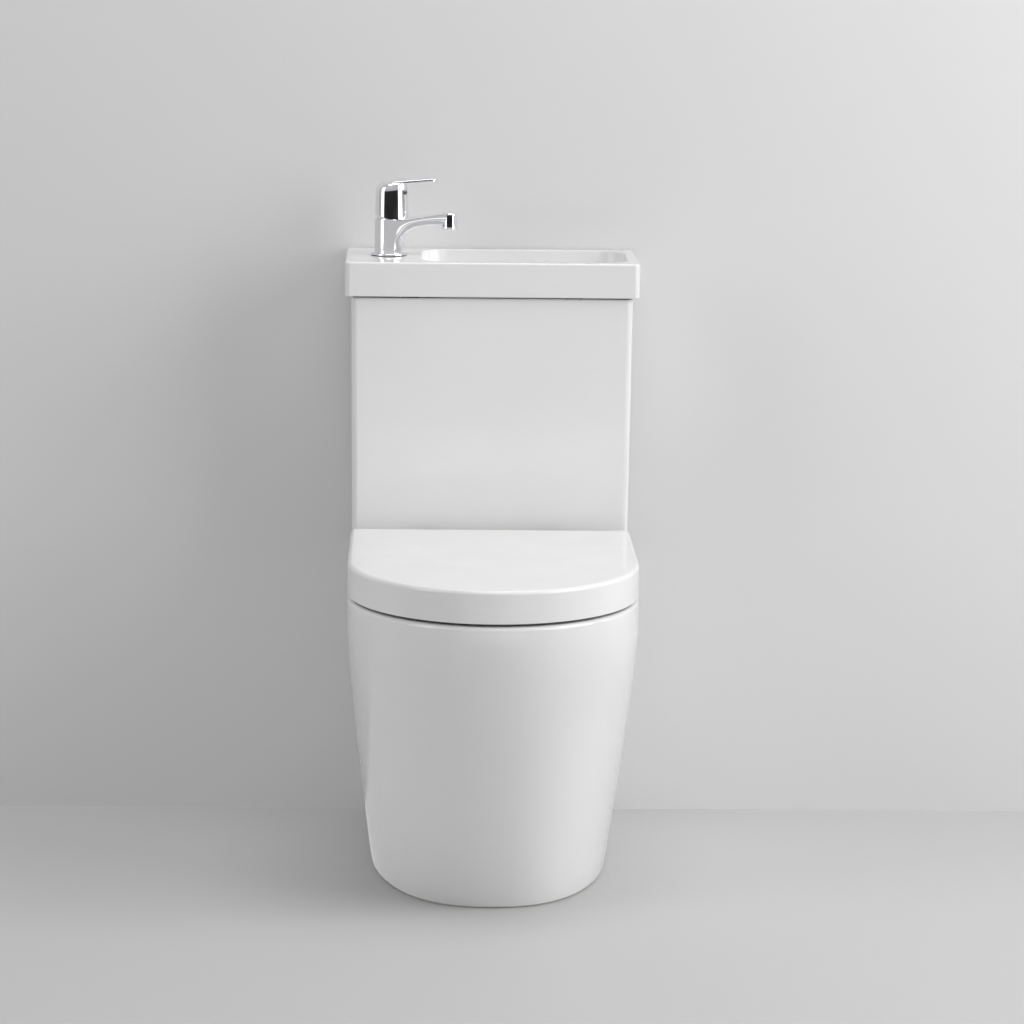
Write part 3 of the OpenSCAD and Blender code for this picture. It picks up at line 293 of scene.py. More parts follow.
def place_noise(tree, scale, detail=2.0, stretch=None):
    """Noise that is fixed to the piece."""
    spot = tree.nodes.new("ShaderNodeTexCoord")
    noise = tree.nodes.new("ShaderNodeTexNoise")
    noise.inputs["Scale"].default_value = scale
    noise.inputs["Detail"].default_value = detail
    source = spot.outputs["Object"]
    if stretch:
        mapping = tree.nodes.new("ShaderNodeMapping")
        mapping.inputs["Scale"].default_value = stretch
        tree.links.new(source, mapping.inputs["Vector"])
        source = mapping.outputs["Vector"]
    tree.links.new(source, noise.inputs["Vector"])
    return noise.outputs["Fac"]


def spread(tree, value, low, high, start=0.3, end=0.7):
    """Maps the range from start to end to the one from low to high."""
    ramp = tree.nodes.new("ShaderNodeMapRange")
    ramp.inputs["From Min"].default_value = start
    ramp.inputs["From Max"].default_value = end
    ramp.inputs["To Min"].default_value = low
    ramp.inputs["To Max"].default_value = high
    tree.links.new(value, ramp.inputs["Value"])
    return ramp.outputs["Result"]


def tint(tree, value, first, second, start=0.35, end=0.65):
    """Colour between two, by a noise."""
    mix = tree.nodes.new("ShaderNodeMix")
    mix.data_type = "RGBA"
    mix.inputs["A"].default_value = (*first, 1)
    mix.inputs["B"].default_value = (*second, 1)
    tree.links.new(spread(tree, value, 0, 1, start, end), mix.inputs["Factor"])
    return mix.outputs["Result"]


def grain(tree, shader, value, strength, distance):
    bump = tree.nodes.new("ShaderNodeBump")
    bump.inputs["Strength"].default_value = strength
    bump.inputs["Distance"].default_value = distance
    tree.links.new(value, bump.inputs["Height"])
    tree.links.new(bump.outputs["Normal"], shader.inputs["Normal"])


def vary(tree, shader, tones=None, gloss=None, bump=None, stretch=None):
    """Lets colour, roughness and surface vary by noises, of which scale and detail are given first."""
    if tones:
        tree.links.new(tint(tree, place_noise(tree, *tones[:2]), *tones[2:]), shader.inputs["Base Color"])
    if gloss:
        tree.links.new(spread(tree, place_noise(tree, *gloss[:2], stretch), *gloss[2:]),
                       shader.inputs["Roughness"])
    if bump:
        grain(tree, shader, place_noise(tree, *bump[:2], stretch), *bump[2:])


def varied(name, colour, roughness, metallic=0.0, tones=None, gloss=None, bump=None, stretch=None, **sockets):
    material, tree, shader = finish_of(name, colour, roughness, metallic, **sockets)
    vary(tree, shader, tones, gloss, bump, stretch)
    return material


def glazed_ceramic():
    """White glaze, a little uneven, over a foot of bare biscuit."""
    material, tree, shader = finish_of("white_glaze", (0.86, 0.86, 0.86), 0.12, Coat_Weight=0.35,
                                       Coat_Roughness=0.03, IOR=1.5)
    vary(tree, shader, gloss=(9, 2, 0.09, 0.15), bump=(28, 2, 0.05, 0.0006))
    glaze = tint(tree, place_noise(tree, 5, 3), (0.845, 0.845, 0.842), (0.87, 0.87, 0.87))
    where = tree.nodes.new("ShaderNodeTexCoord")
    split = tree.nodes.new("ShaderNodeSeparateXYZ")
    tree.links.new(where.outputs["Object"], split.inputs["Vector"])
    bare = spread(tree, split.outputs["Z"], 1, 0, 0.0006, 0.0024)
    mix = tree.nodes.new("ShaderNodeMix")
    mix.data_type = "RGBA"
    mix.inputs["B"].default_value = (0.70, 0.66, 0.60, 1)
    tree.links.new(glaze, mix.inputs["A"])
    tree.links.new(bare, mix.inputs["Factor"])
    tree.links.new(mix.outputs["Result"], shader.inputs["Base Color"])
    return material


def satin_plastic(name, colour, darker):
    return varied(name, colour, 0.45, tones=(24, 3, darker, colour), gloss=(40, 2, 0.38, 0.52),
                  bump=(900, 1, 0.18, 0.0003))


def plain_metal(name, colour, darker, stretch):
    """Metal with fine lines along the piece."""
    return varied(name, colour, 0.3, 1.0, tones=(40, 3, darker, colour), gloss=(260, 3, 0.22, 0.42),
                  bump=(260, 3, 0.12, 0.0002), stretch=stretch)


FINISHES = {
    "ceramic": glazed_ceramic(),
    "seat_plastic": varied("white_moulding", (0.87, 0.87, 0.87), 0.2, gloss=(14, 3, 0.185, 0.215),
                           tones=(7, 2, (0.86, 0.86, 0.86), (0.88, 0.88, 0.88)), bump=(60, 2, 0.015, 0.0004),
                           Coat_Weight=0.2, Coat_Roughness=0.06),
    "plastic": satin_plastic("satin_white_plastic", (0.78, 0.78, 0.77), (0.72, 0.72, 0.70)),
    "float_plastic": satin_plastic("satin_blue_plastic", (0.16, 0.26, 0.38), (0.12, 0.21, 0.32)),
    "chrome": varied("polished_plating", (0.86, 0.86, 0.88), 0.05, 1.0, gloss=(60, 4, 0.03, 0.085),
                     tones=(30, 3, (0.83, 0.83, 0.86), (0.88, 0.88, 0.90)), bump=(45, 2, 0.03, 0.0003)),
    "steel": plain_metal("bright_steel", (0.62, 0.62, 0.62), (0.5, 0.5, 0.5), (1, 1, 12)),
    "brass": plain_metal("turned_brass", (0.72, 0.52, 0.22), (0.6, 0.42, 0.17), (1, 1, 14)),
    "rubber": varied("black_rubber", (0.035, 0.035, 0.036), 0.7, bump=(700, 2, 0.3, 0.0004),
                     tones=(35, 3, (0.026, 0.026, 0.027), (0.05, 0.05, 0.05))),
    "dot": varied("dark_enamel", (0.03, 0.03, 0.035), 0.15, Coat_Weight=0.5,
                  tones=(500, 2, (0.022, 0.022, 0.025), (0.04, 0.04, 0.045))),
}

# ----------------------------------------
# Tap. Heights are above the basin's deck; the column stands at the origin until it is placed.
# ----------------------------------------
COLUMN_R, COLUMN_H = 0.020, 0.050
SPOUT_REACH, TIP_R, TIP_LOW, TIP_TOP = 0.083, 0.011, 0.040, 0.059
HOOD_R, HOOD_TAPER, HOOD_TOP, HOOD_ROUND, NOSE = 0.0198, 0.0012, 0.100, 0.012, 0.027
HOOD_LOW, HOOD_SHOULDER = COLUMN_H + 0.0005, HOOD_TOP - HOOD_ROUND
PIVOT_H, CAVITY_R = 0.054, 0.018
HOOD_RELIEF, NOSE_RELIEF = math.radians(20), math.radians(15.5)
# The hood's top draws in towards a place under its nose
HOOD_CENTRE = 0.020
# Blade's root and tip: middle along the spout, and radius
ROOT_X, ROOT_R, BLADE_X, BLADE_R = 0.008, 0.012, 0.0575, 0.0085
# Sections of the spout: reach, underside, top and half width
SPOUT = [(0.0225, 0.0325, 0.0503, 0.0186), (0.032, 0.0378, 0.0517, 0.0168), (0.045, 0.0412, 0.0536, 0.0146),
         (0.060, 0.0427, 0.0557, 0.0124), (0.073, 0.0430, 0.0576, 0.0104), (0.081, 0.0432, 0.0580, 0.0096)]
CAGE_SIDES = 16
# A round cage draws in under subdivision; this keeps its real radius
CAGE = 3 / (2 + math.cos(math.tau / CAGE_SIDES))


def on_deck(obj):
    obj.location = (TAP_X, TAP_Y, BASIN_TOP)
    return settle(obj, obj.name)


def raise_face(heights):
    """Extrudes the selected face upwards through a list of heights."""
    for low, high in zip(heights, heights[1:]):
        extrude(z=high - low)


def fit_section(reach, low, high, half):
    """Flattens the selected end of the spout and gives it its place, height and width."""
    mesh = bmesh.from_edit_mesh(bpy.context.object.data)
    points = [v.co.copy() for v in mesh.verts if v.select]
    span = [(min(p[k] for p in points), max(p[k] for p in points)) for k in range(3)]
    middle = Vector([(a + b) / 2 for a, b in span])
    _, wide, tall = [b - a for a, b in span]
    bpy.ops.transform.resize(value=(0, 2 * half / wide, (high - low) / tall), center_override=middle)
    bpy.ops.transform.translate(value=(reach - middle.x, -middle.y, (low + high) / 2 - middle.z))


def tap_base_ring():
    profile = ([(0.0160, 0.0010), (0.0247, 0.0010)] + arc(0.0247, 0.0013, 0.0003, -90, 0, 3)
               + arc(0.0236, 0.0022, 0.0014, 0, 90) + [(0.0205, 0.0040), (0.0160, 0.0040), (0.0160, 0.0010)])
    return on_deck(turned("tap_ring", profile, steps=96))


def tap_casting():
    """A round column, one side of which is drawn out into an arched spout with an upright tip."""
    clear()
    bpy.ops.mesh.primitive_circle_add(vertices=CAGE_SIDES, radius=COLUMN_R * CAGE, fill_type="NGON",
                                      location=(0, 0, 0.004), rotation=(0, 0, math.pi / CAGE_SIDES))
    body = settle(bpy.context.object, "tap_casting")
    edit(body)
    raise_face([0.0040, 0.0045, 0.0100, 0.0190, 0.0285, 0.0390, 0.0492, COLUMN_H])
    # The column's side above the arch is drawn out into the spout
    pick("FACE", lambda at, way: way.x > 0.15 and 0.019 < at.z < COLUMN_H - 0.0001)
    for reach, low, high, half in SPOUT:
        extrude(x=0.001)
        fit_section(reach, low, high, half)
    # The spout's sides lean in towards its underside
    for reach, low, high, _ in SPOUT:
        for start, end, width in ((-0.1, 0.2, 0.78), (0.2, 0.5, 0.90)):
            pick("VERT", lambda at, way: near(at.x, reach, 1e-4)
                 and start <= (at.z - low) / (high - low) < end)
            bpy.ops.transform.resize(value=(1, width, 1), center_override=(reach, 0, 0))
    pick("VERT", lambda at, way: 0.008 < at.x < 0.024 and 0.017 < at.z < 0.034 and abs(at.y) < 0.016)
    bpy.ops.mesh.vertices_smooth(factor=0.5, repeat=2)
    # Edges that stay crisp: the foot and the shoulder
    pick("EDGE", lambda at, way: at.z < 0.0041 or (near(at.z, COLUMN_H, 2e-4) and at.x < 0.0195
                                                   and abs(way.z) < 0.1))
    bpy.ops.transform.edge_crease(value=1)
    modify(done(body), "SUBSURF", levels=3, render_levels=3)
    tip = turned("tip", [(0, TIP_LOW), (TIP_R, TIP_LOW)] + arc(TIP_R - 0.0037, TIP_TOP - 0.003, 0.003, 0, 90)
                 + [(0, TIP_TOP)], x=SPOUT_REACH, steps=64)
    cut(body, tip, operation="UNION")
    chamber = turned("chamber", [(0, 0.022), (0.0125, 0.022), (0.0125, 0.044), (0.015, 0.044),
                                 (0.015, 0.055), (0, 0.055)])
    mouth = turned("mouth", [(0, TIP_LOW - 0.001), (TIP_R - 0.002, TIP_LOW - 0.001),
                             (TIP_R - 0.002, 0.050), (0, 0.050)], x=SPOUT_REACH)
    cut(body, chamber, mouth)
    return on_deck(body)


def tap_aerator():
    """Threaded collar with a grid of fine bars across its mouth."""
    low = TIP_LOW - 0.004
    mouth_r, pitch, thin = 0.0071, 0.0015, 0.0002
    collar = turned("aerator", arc(TIP_R - 0.0006, low + 0.0006, 0.0006, -90, 0, 3)
                    + arc(TIP_R - 0.0002, TIP_LOW - 0.0002, 0.0002, 0, 90, 2)
                    + [(0.0090, TIP_LOW), (0.0090, TIP_LOW + 0.007), (0.0070, TIP_LOW + 0.007),
                       (0.0070, low + 0.0005), (0.0075, low), (TIP_R - 0.0006, low)],
                    x=SPOUT_REACH, steps=64)
    about = Matrix.Translation((SPOUT_REACH, 0, 0))
    notches = [round_bar("notch", 0.0009, low - 0.001, low + 0.0024, x=SPOUT_REACH + TIP_R, sides=16)
               for _ in range(8)]
    for k, notch in enumerate(notches):
        notch.data.transform(about @ Matrix.Rotation(k * math.tau / 8, 4, "Z") @ about.inverted())
    cut(collar, *notches)
    bars = []
    for k in range(-4, 5):
        reach, at = math.sqrt(mouth_r ** 2 - (k * pitch) ** 2), k * pitch
        bars += [block("bar", (SPOUT_REACH - reach, at - thin, low + 0.0018),
                       (SPOUT_REACH + reach, at + thin, low + 0.0026)),
                 block("bar", (SPOUT_REACH + at - thin, -reach, low + 0.0022),
                       (SPOUT_REACH + at + thin, reach, low + 0.0030))]
    return on_deck(joined(collar, *bars))


def narrow(share, height, x=0.0):
    bpy.ops.transform.resize(value=(share, share, 1), center_override=(x, 0, height))


def round_over(low, rise, x, reach, steps=8):
    """Carries the selected top face up over a quarter round, and in towards a place that lies reach away."""
    for k in range(steps):
        here, there = (math.radians(90 * j / steps) for j in (k, k + 1))
        extrude(z=rise * (math.sin(there) - math.sin(here)))
        share = (reach - rise * (1 - math.cos(there))) / (reach - rise * (1 - math.cos(here)))
        narrow(share, low + rise * math.sin(there), x)


def trim_below(x, slope):
    """Cuts away what lies below a plane that rises along the spout with this slope."""
    pick_all()
    bpy.ops.mesh.bisect(plane_co=(x, 0, HOOD_LOW), use_fill=True, clear_inner=True,
                        plane_no=(-math.sin(slope), 0, math.cos(slope)))


def tap_handle():
    """Hood with a nose over the spout, hollow over the dome nut, and a flat blade."""
    clear()
    bpy.ops.mesh.primitive_circle_add(vertices=96, radius=HOOD_R, fill_type="NGON", location=(0, 0, HOOD_LOW))
    hood = edit(settle(bpy.context.object, "tap_hood"))
    pick("VERT", lambda at, way: at.x > 1e-5)
    bpy.ops.transform.resize(value=(NOSE / HOOD_R, 1, 1), center_override=(0, 0, 0))
    pick_all()
    extrude(z=HOOD_SHOULDER - HOOD_LOW)
    narrow(1 - HOOD_TAPER / HOOD_R, HOOD_SHOULDER)
    round_over(HOOD_SHOULDER, HOOD_ROUND, HOOD_CENTRE, HOOD_R + HOOD_CENTRE)
    # The edge rises away from the spout, and a little under the nose
    trim_below(0, -HOOD_RELIEF)
    trim_below(HOOD_R, NOSE_RELIEF)
    cut(done(hood), tap_blade(), operation="UNION")
    cut(hood, turned("cavity", [(0, 0.049), (CAVITY_R, 0.049)] + arc(0, PIVOT_H, CAVITY_R, 0, 45)
                     + [(CAVITY_R * math.cos(math.pi / 4), HOOD_TOP - 0.010), (0, HOOD_TOP - 0.008)]))
    modify(hood, "BEVEL", width=0.0004, segments=2, limit_method="ANGLE", angle_limit=math.radians(40))
    return on_deck(hood)


def tap_blade():
    """Flat blade, broad at its root and rising to a round tip."""
    clear()
    bpy.ops.mesh.primitive_circle_add(vertices=64, radius=BLADE_R, fill_type="NGON",
                                      location=(BLADE_X, 0, HOOD_TOP + 0.001))
    blade = edit(settle(bpy.context.object, "blade"))
    pick("VERT", lambda at, way: at.x < BLADE_X - 1e-5)
    bpy.ops.transform.resize(value=(1, ROOT_R / BLADE_R, 1), center_override=(BLADE_X, 0, 0))
    bpy.ops.transform.translate(value=(ROOT_X - BLADE_X, 0, -0.004))
    pick_all()
    extrude(z=0.0046)
    outward()
    pick("EDGE", lambda at, way: abs(way.z) < 0.5)
    bevel(0.0012, 4)
    return done(blade)


def tap_dot():
    """Small domed dot on the side of the hood's nose."""
    dot = turned("tap_dot", [(0, -0.0015), (0.0030, -0.0015), (0.0030, 0.0001), (0.0027, 0.0003),
                             (0.0014, 0.00045), (0, 0.0005)], steps=32)
    dot.matrix_world = (Matrix.Translation((0.013, 0, HOOD_TOP - 0.013))
                        @ Matrix.Rotation(math.radians(-50), 4, "Z")
                        @ Matrix.Rotation(math.radians(90), 4, "Y") @ Matrix.Translation((0, 0, 0.014)))
    return on_deck(settle(dot, "tap_dot"))


ship(tap_base_ring(), "tap_base_ring")
ship(tap_casting(), "tap_body")
ship(tap_aerator(), "tap_aerator")
ship(tap_handle(), "tap_lever")
ship(tap_dot(), "tap_indicator")

# ----------------------------------------
# Seat and lid
# ----------------------------------------
PAN_MID = 0.450
LID_Z, LID_TOP, LID_UNDER, LID_WALL = 0.3975, 0.440, 0.435, 0.005
LID_HALF, LID_FRONT, LID_BACK = 0.190, 0.670, 0.206
SEAT_Z, SEAT_TOP, SEAT_HALF, SEAT_FRONT, SEAT_BACK = 0.404, 0.424, 0.180, 0.660, 0.250
HOLE_HALF, HOLE_LONG, HOLE_MID = 0.103, 0.131, 0.470
HINGE_X, KNUCKLE_R, PIN_R, PIN_BORE_R = 0.0775, 0.0105, 0.004, 0.00406
# Inner and outer side of the hinge's ears
LID_EAR, SEAT_EAR = (0.050, 0.065), (0.090, 0.105)
# Lid's swing about the axis, behind which its lower corner is rounded
SWING_R = 0.0255


def d_plate(name, half, front, back, corner, low, high):
    """D-shaped plate: straight back and sides, and half an ellipse at the front."""
    clear()
    middle = (0, y_at(PAN_MID), low)
    bpy.ops.mesh.primitive_circle_add(vertices=144, radius=half, fill_type="NGON", location=middle)
    plate = edit(settle(bpy.context.object, name))
    bpy.ops.transform.resize(value=(1, (front - PAN_MID) / half, 1), center_override=middle)
    bpy.ops.mesh.bisect(plane_co=middle, plane_no=(0, 1, 0), clear_outer=True)
    pick("EDGE", lambda at, way: near(at.y, middle[1]))
    extrude(y=PAN_MID - back)
    pick("FACE", lambda at, way: True)
    bpy.ops.mesh.dissolve_faces()
    extrude(z=high - low)
    outward()
    round_corners(corner, 8, lambda at: near(at.y, y_at(back)))
    return plate


def across_bar(name, radius, x0, x1, depth, z, sides=64, edge=0.0):
    """Round bar along X, with its end edges rounded."""
    bar = round_bar(name, radius, -(x1 - x0) / 2, (x1 - x0) / 2, sides=sides)
    bar.matrix_world = (Matrix.Translation(((x0 + x1) / 2, y_at(depth), z))
                        @ Matrix.Rotation(math.pi / 2, 4, "Y"))
    settle(bar, name)
    if edge:
        edit(bar)
        pick("EDGE", lambda at, way: near(at.x, x0) or near(at.x, x1))
        bevel(edge, 3)
        done(bar)
    return bar


def deep_block(name, x0, x1, depth0, depth1, z0, z1):
    """Block between two depths from the wall."""
    return block(name, (x0, y_at(max(depth0, depth1)), z0), (x1, y_at(min(depth0, depth1)), z1))


def add_ears(plate, sides, *neck):
    """Joins the two hinge ears to a plate by their necks, and bores them for the pins."""
    for s in (-1, 1):
        inner, outer = sorted(s * x for x in sides)
        ear = across_bar("ear", KNUCKLE_R, inner, outer, HINGE_DEPTH, HINGE_Z, edge=0.0008)
        cut(ear, deep_block("neck", inner + 0.0002, outer - 0.0002, *neck), operation="UNION")
        cut(plate, ear, operation="UNION")
    return cut(plate, across_bar("bore", PIN_BORE_R, -0.12, 0.12, HINGE_DEPTH, HINGE_Z, sides=32))


def lid_cover():
    cover = d_plate("lid_cover", LID_HALF, LID_FRONT, LID_BACK, 0.008, LID_Z, LID_TOP)
    round_level(LID_TOP, 0.0055, 8)
    round_level(LID_Z, 0.0012, 3)
    done(cover)
    hollow = d_plate("hollow", LID_HALF - LID_WALL, LID_FRONT - LID_WALL, LID_BACK + LID_WALL, 0.0035,
                     LID_Z - 0.001, LID_UNDER)
    round_level(LID_UNDER, 0.0033, 5)
    done(hollow)
    # Behind the axis the lower corner swings clear of the pan
    swing = deep_block("swing", -0.2, 0.2, HINGE_DEPTH, LID_BACK - 0.02, LID_Z - 0.001, HINGE_Z)
    cut(swing, across_bar("bar", SWING_R, -0.21, 0.21, HINGE_DEPTH, HINGE_Z, sides=128))
    notches = [deep_block("notch", s * HINGE_X - 0.017, s * HINGE_X + 0.017, LID_BACK + 0.010,
                          LID_BACK - 0.001, LID_Z - 0.001, LID_UNDER) for s in (-1, 1)]
    cut(cover, hollow, swing, *notches)
    return add_ears(cover, LID_EAR, 0.2385, 0.2215, HINGE_Z, LID_UNDER + 0.001)


def seat_ring():
    ring = d_plate("seat_ring", SEAT_HALF, SEAT_FRONT, SEAT_BACK, 0.040, SEAT_Z, SEAT_TOP)
    round_level(SEAT_TOP, 0.006, 8)
    round_level(SEAT_Z, 0.0045, 5)
    done(ring)
    hole = edit(round_bar("hole", HOLE_HALF, SEAT_Z - 0.002, SEAT_TOP + 0.002, y=y_at(HOLE_MID), sides=144))
    bpy.ops.transform.resize(value=(1, HOLE_LONG / HOLE_HALF, 1), center_override=(0, y_at(HOLE_MID), 0))
    cut(ring, done(hole))
    edit(ring)
    inside = lambda at: math.hypot(at.x / HOLE_HALF, (at.y - y_at(HOLE_MID)) / HOLE_LONG) < 1.02
    round_level(SEAT_TOP, 0.0085, 8, inside)
    round_level(SEAT_Z, 0.004, 5, inside)
    return add_ears(done(ring), SEAT_EAR, 0.230, 0.262, 0.407, 0.422)


ship(lid_cover(), "lid", angle=30)
ship(seat_ring(), "seat", angle=30)

# ----------------------------------------
# Basin and its waste
# ----------------------------------------
BASIN_HALF, BASIN_DEPTH, BASIN_Z = 0.200, 0.194, 0.756
# Underside of the tap's deck
DECK_Z = BASIN_TOP - 0.013
WASH_X, WASH_HALF, WASH_LONG, WASH_Z = 0.045, 0.145, 0.085, 0.722
WASTE_R, FLANGE_R = 0.016, 0.022
INLET_HALF, INLET_Z, INLET_TOP = 0.034, 0.336, 0.376

# Pan's bowl: its opening, its widest place under the edge and its sump, each as half width, half
# length and depth from the wall
OPENING, UNDERCUT, SUMP = (0.1203, 0.1533, 0.476), (0.1253, 0.1583, 0.476), (0.0363, 0.0403, 0.404)
UNDERCUT_Z, SUMP_Z, EDGE_R = 0.368, 0.100, 0.008
# Share of the way down to the sump, and share by which the bowl has closed there
BOWL_STEPS = [(0.14, 0.03), (0.27, 0.12), (0.39, 0.28), (0.49, 0.48), (0.57, 0.70), (0.65, 0.90), (0.72, 1)]
# Bevel's profile that turns a square into the bowl's oval
OVAL_PROFILE = 0.5168

# Levels of the wash bowl's inside and outside: height, half width and half depth
INSIDE = [(0.813, 0.142, 0.082), (0.7795, 0.139, 0.081), (0.768, 0.1330, 0.0775),
          (0.756, 0.1245, 0.0715), (0.746, 0.1175, 0.0670), (0.739, 0.1110, 0.0630),
          (0.733, 0.1010, 0.0600), (0.728, 0.0880, 0.0560), (0.725, 0.0720, 0.0490),
          (0.7235, 0.0560, 0.0410), (0.7226, 0.0400, 0.0320), (0.722, 0.0260, 0.0240)]
OUTSIDE = [(0.768, 0.1345, 0.0810), (0.756, 0.1345, 0.0810), (0.745, 0.1320, 0.0800),
           (0.737, 0.1270, 0.0770), (0.727, 0.1140, 0.0710), (0.720, 0.0980, 0.0640),
           (0.7145, 0.0740, 0.0540), (0.712, 0.0520, 0.0430), (0.711, 0.0270, 0.0270)]


def draw_down(levels, x=0.0):
    """Carries a block's underside down through levels of height, half width, half length and depth."""
    (_, wide, long, mid), (low, *_) = levels[:2]
    pick("VERT", lambda at, way: near(at.z, low))
    for k, (z, now_wide, now_long, now_mid) in enumerate(levels[1:]):
        if k:
            pick("FACE", lambda at, way: near(at.z, low))
            extrude(z=z - low)
        bpy.ops.transform.resize(value=(now_wide / wide, now_long / long, 1),
                                 center_override=(x, y_at(mid), 0))
        bpy.ops.transform.translate(value=(0, mid - now_mid, 0))
        low, wide, long, mid = z, now_wide, now_long, now_mid
    outward()


def bowl_form(name, levels, corner):
    """Solid of the wash bowl: upright at its top, and drawn in towards the waste below."""
    (top, wide, long), (low, _, _) = levels[:2]
    form = edit(block(name, (WASH_X - wide, TAP_Y - long, low), (WASH_X + wide, TAP_Y + long, top)))
    round_corners(corner, 12)
    draw_down([(*level, TANK_DEPTH) for level in levels], WASH_X)
    return done(form)


def by_the_opening(at):
    return abs(at.x - WASH_X) < WASH_HALF + 0.003 and abs(at.y - TAP_Y) < WASH_LONG + 0.003


def wash_basin():
    basin = edit(block("wash_basin", (-BASIN_HALF, y_at(BASIN_DEPTH), BASIN_Z),
                       (BASIN_HALF, WALL, BASIN_TOP)))
    round_corners(0.008, 8)
    round_level(BASIN_TOP, 0.003, 5)
    round_level(BASIN_Z, 0.0015, 3)
    cut(done(basin), bowl_form("hull", OUTSIDE, 0.032), operation="UNION")
    cut(basin, bowl_form("hollow", INSIDE, 0.036))
    edit(basin)
    round_level(BASIN_TOP, 0.003, 5, by_the_opening)
    done(basin)
    pocket = edit(block("pocket", (0.020 - BASIN_HALF, y_at(BASIN_DEPTH - 0.022), BASIN_Z - 0.001),
                        (WASH_X - WASH_HALF - 0.011, y_at(0.022), DECK_Z)))
    round_corners(0.014, 6)
    round_level(DECK_Z, 0.004, 4)
    return cut(basin, done(pocket), round_bar("tap_hole", 0.0175, BASIN_Z, BASIN_TOP + 0.001, TAP_X, TAP_Y),
               round_bar("waste_hole", WASTE_R, WASH_Z - 0.030, WASH_Z + 0.010, WASH_X, TAP_Y))


def rings_of_thread(radius, low, high, pitch, depth):
    """Profile points of a thread's flanks, from low to high."""
    count = int((high - low) / pitch)
    return [point for k in range(count) for point in
            ((radius - depth, low + k * pitch), (radius, low + (k + 0.5) * pitch))] + [(radius - depth, high)]


def waste_fitting():
    """Domed flange with two rings of holes and a slotted screw, on a threaded body."""
    top, end = WASH_Z + 0.0025, WASH_Z - 0.046
    profile = ([(0, WASH_Z - 0.001), (WASTE_R - 0.003, WASH_Z - 0.001), (WASTE_R - 0.003, end),
                (WASTE_R - 0.0015, end)]
               + rings_of_thread(WASTE_R - 0.0005, end + 0.001, WASH_Z - 0.002, 0.0015, 0.0009)
               + [(WASTE_R - 0.0005, WASH_Z), (FLANGE_R - 0.0004, WASH_Z)]
               + arc(FLANGE_R - 0.0006, WASH_Z + 0.0007, 0.0006, -60, 60, 4)
               + [(FLANGE_R - 0.003, top - 0.0004), (FLANGE_R - 0.006, top), (0.010, top - 0.0002),
                  (0, top - 0.0008)])
    waste = turned("waste_grid", profile, x=WASH_X, y=TAP_Y, steps=96)
    rings = ([(0.0118, k * math.tau / 12) for k in range(12)]
             + [(0.0074, (k + 0.5) * math.tau / 6) for k in range(6)])
    cut(waste, *[round_bar("hole", 0.0017, WASH_Z - 0.004, top + 0.002, WASH_X + reach * math.cos(turn),
                           TAP_Y + reach * math.sin(turn), sides=24) for reach, turn in rings])
    screw = turned("screw", [(0, top - 0.0012), (0.0036, top - 0.0012), (0.0036, top - 0.0002),
                             (0.0030, top + 0.0001), (0.0016, top + 0.0003), (0, top + 0.0003)],
                   x=WASH_X, y=TAP_Y, steps=48)
    cut(screw, block("slot", (WASH_X - 0.0045, TAP_Y - 0.0004, top - 0.0004),
                     (WASH_X + 0.0045, TAP_Y + 0.0004, top + 0.001)))
    return joined(waste, screw)


def flush_inlet(name, front, back, flare=(1, 1)):
    """Tool for the way from the duct into the bowl, with round corners, and wider there where flared."""
    tool = edit(block(name, (-INLET_HALF, y_at(front), INLET_Z), (INLET_HALF, y_at(back), INLET_TOP)))
    pick("EDGE", lambda at, way: abs(way.y) > 0.9)
    bevel(0.006, 6)
    pick("VERT", lambda at, way: near(at.y, y_at(front)))
    bpy.ops.transform.resize(value=(flare[0], 1, flare[1]), center_override=(0, y_at(front), INLET_TOP))
    return done(tool)


def pan_bowl():
    """Tool for the pan's bowl: the rolled edge, the undercut below it and the way down to the sump."""
    wide, long, mid = OPENING
    roll = [math.radians(a) for a in (85, 68, 51, 34, 17, 0)]
    edge = [(RIM_Z + 0.0005, EDGE_R + 0.0003)]
    edge += [(RIM_Z - EDGE_R * (1 - 0.96 * math.sin(a)), EDGE_R * (1 - 0.96 * math.cos(a)) - 0.0003)
             for a in roll]
    edge += [(0.372, 0), (0.368, 0.001), (0.364, 0.005)]
    levels = [(z, wide + grow, long + grow, mid) for z, grow in edge]
    for down, shut in BOWL_STEPS:
        sizes = [a + (b - a) * shut for a, b in zip(UNDERCUT, SUMP)]
        levels.append((UNDERCUT_Z - (UNDERCUT_Z - SUMP_Z) * down, *sizes))
    (top, wide, long, mid), (low, *_) = levels[:2]
    tool = edit(block("bowl", (-1, -1, low), (1, 1, top)))
    pick("EDGE", lambda at, way: abs(way.z) > 0.9)
    bevel(1, 24, OVAL_PROFILE, clamp=False)
    pick_all()
    bpy.ops.mesh.remove_doubles(threshold=1e-5)
    bpy.ops.transform.resize(value=(wide, long, 1), center_override=(0, 0, 0))
    bpy.ops.transform.translate(value=(0, y_at(mid), 0))
    draw_down(levels)
    return done(tool)


def pan_ceramic():
    """The CAD pan with a smooth bowl, and the flush inlet's edges rounded and opened out."""
    return cut(node_copy("pan"), pan_bowl(), flush_inlet("inlet", 0.345, 0.300),
               flush_inlet("mouth", 0.345, 0.312, (1.25, 1.3)))


ship(wash_basin(), "basin")
ship(pan_ceramic(), "pan", angle=48)
ship(waste_fitting(), "basin_waste")

# ----------------------------------------
# Push buttons in the cistern's side. Heights are outwards from its face until they are placed.
# ----------------------------------------
BUTTON_X, BUTTON_Z, BUTTON_R, SPLIT = 0.1907, 0.660, 0.020, 0.005
HOUSING_R, HOUSING_L, BEZEL_R, BEZEL_T = 0.022, 0.034, 0.028, 0.0023
STEM_R, STEM_SHIFT, BUTTON_TRAVEL = 0.003, 0.009, 0.005


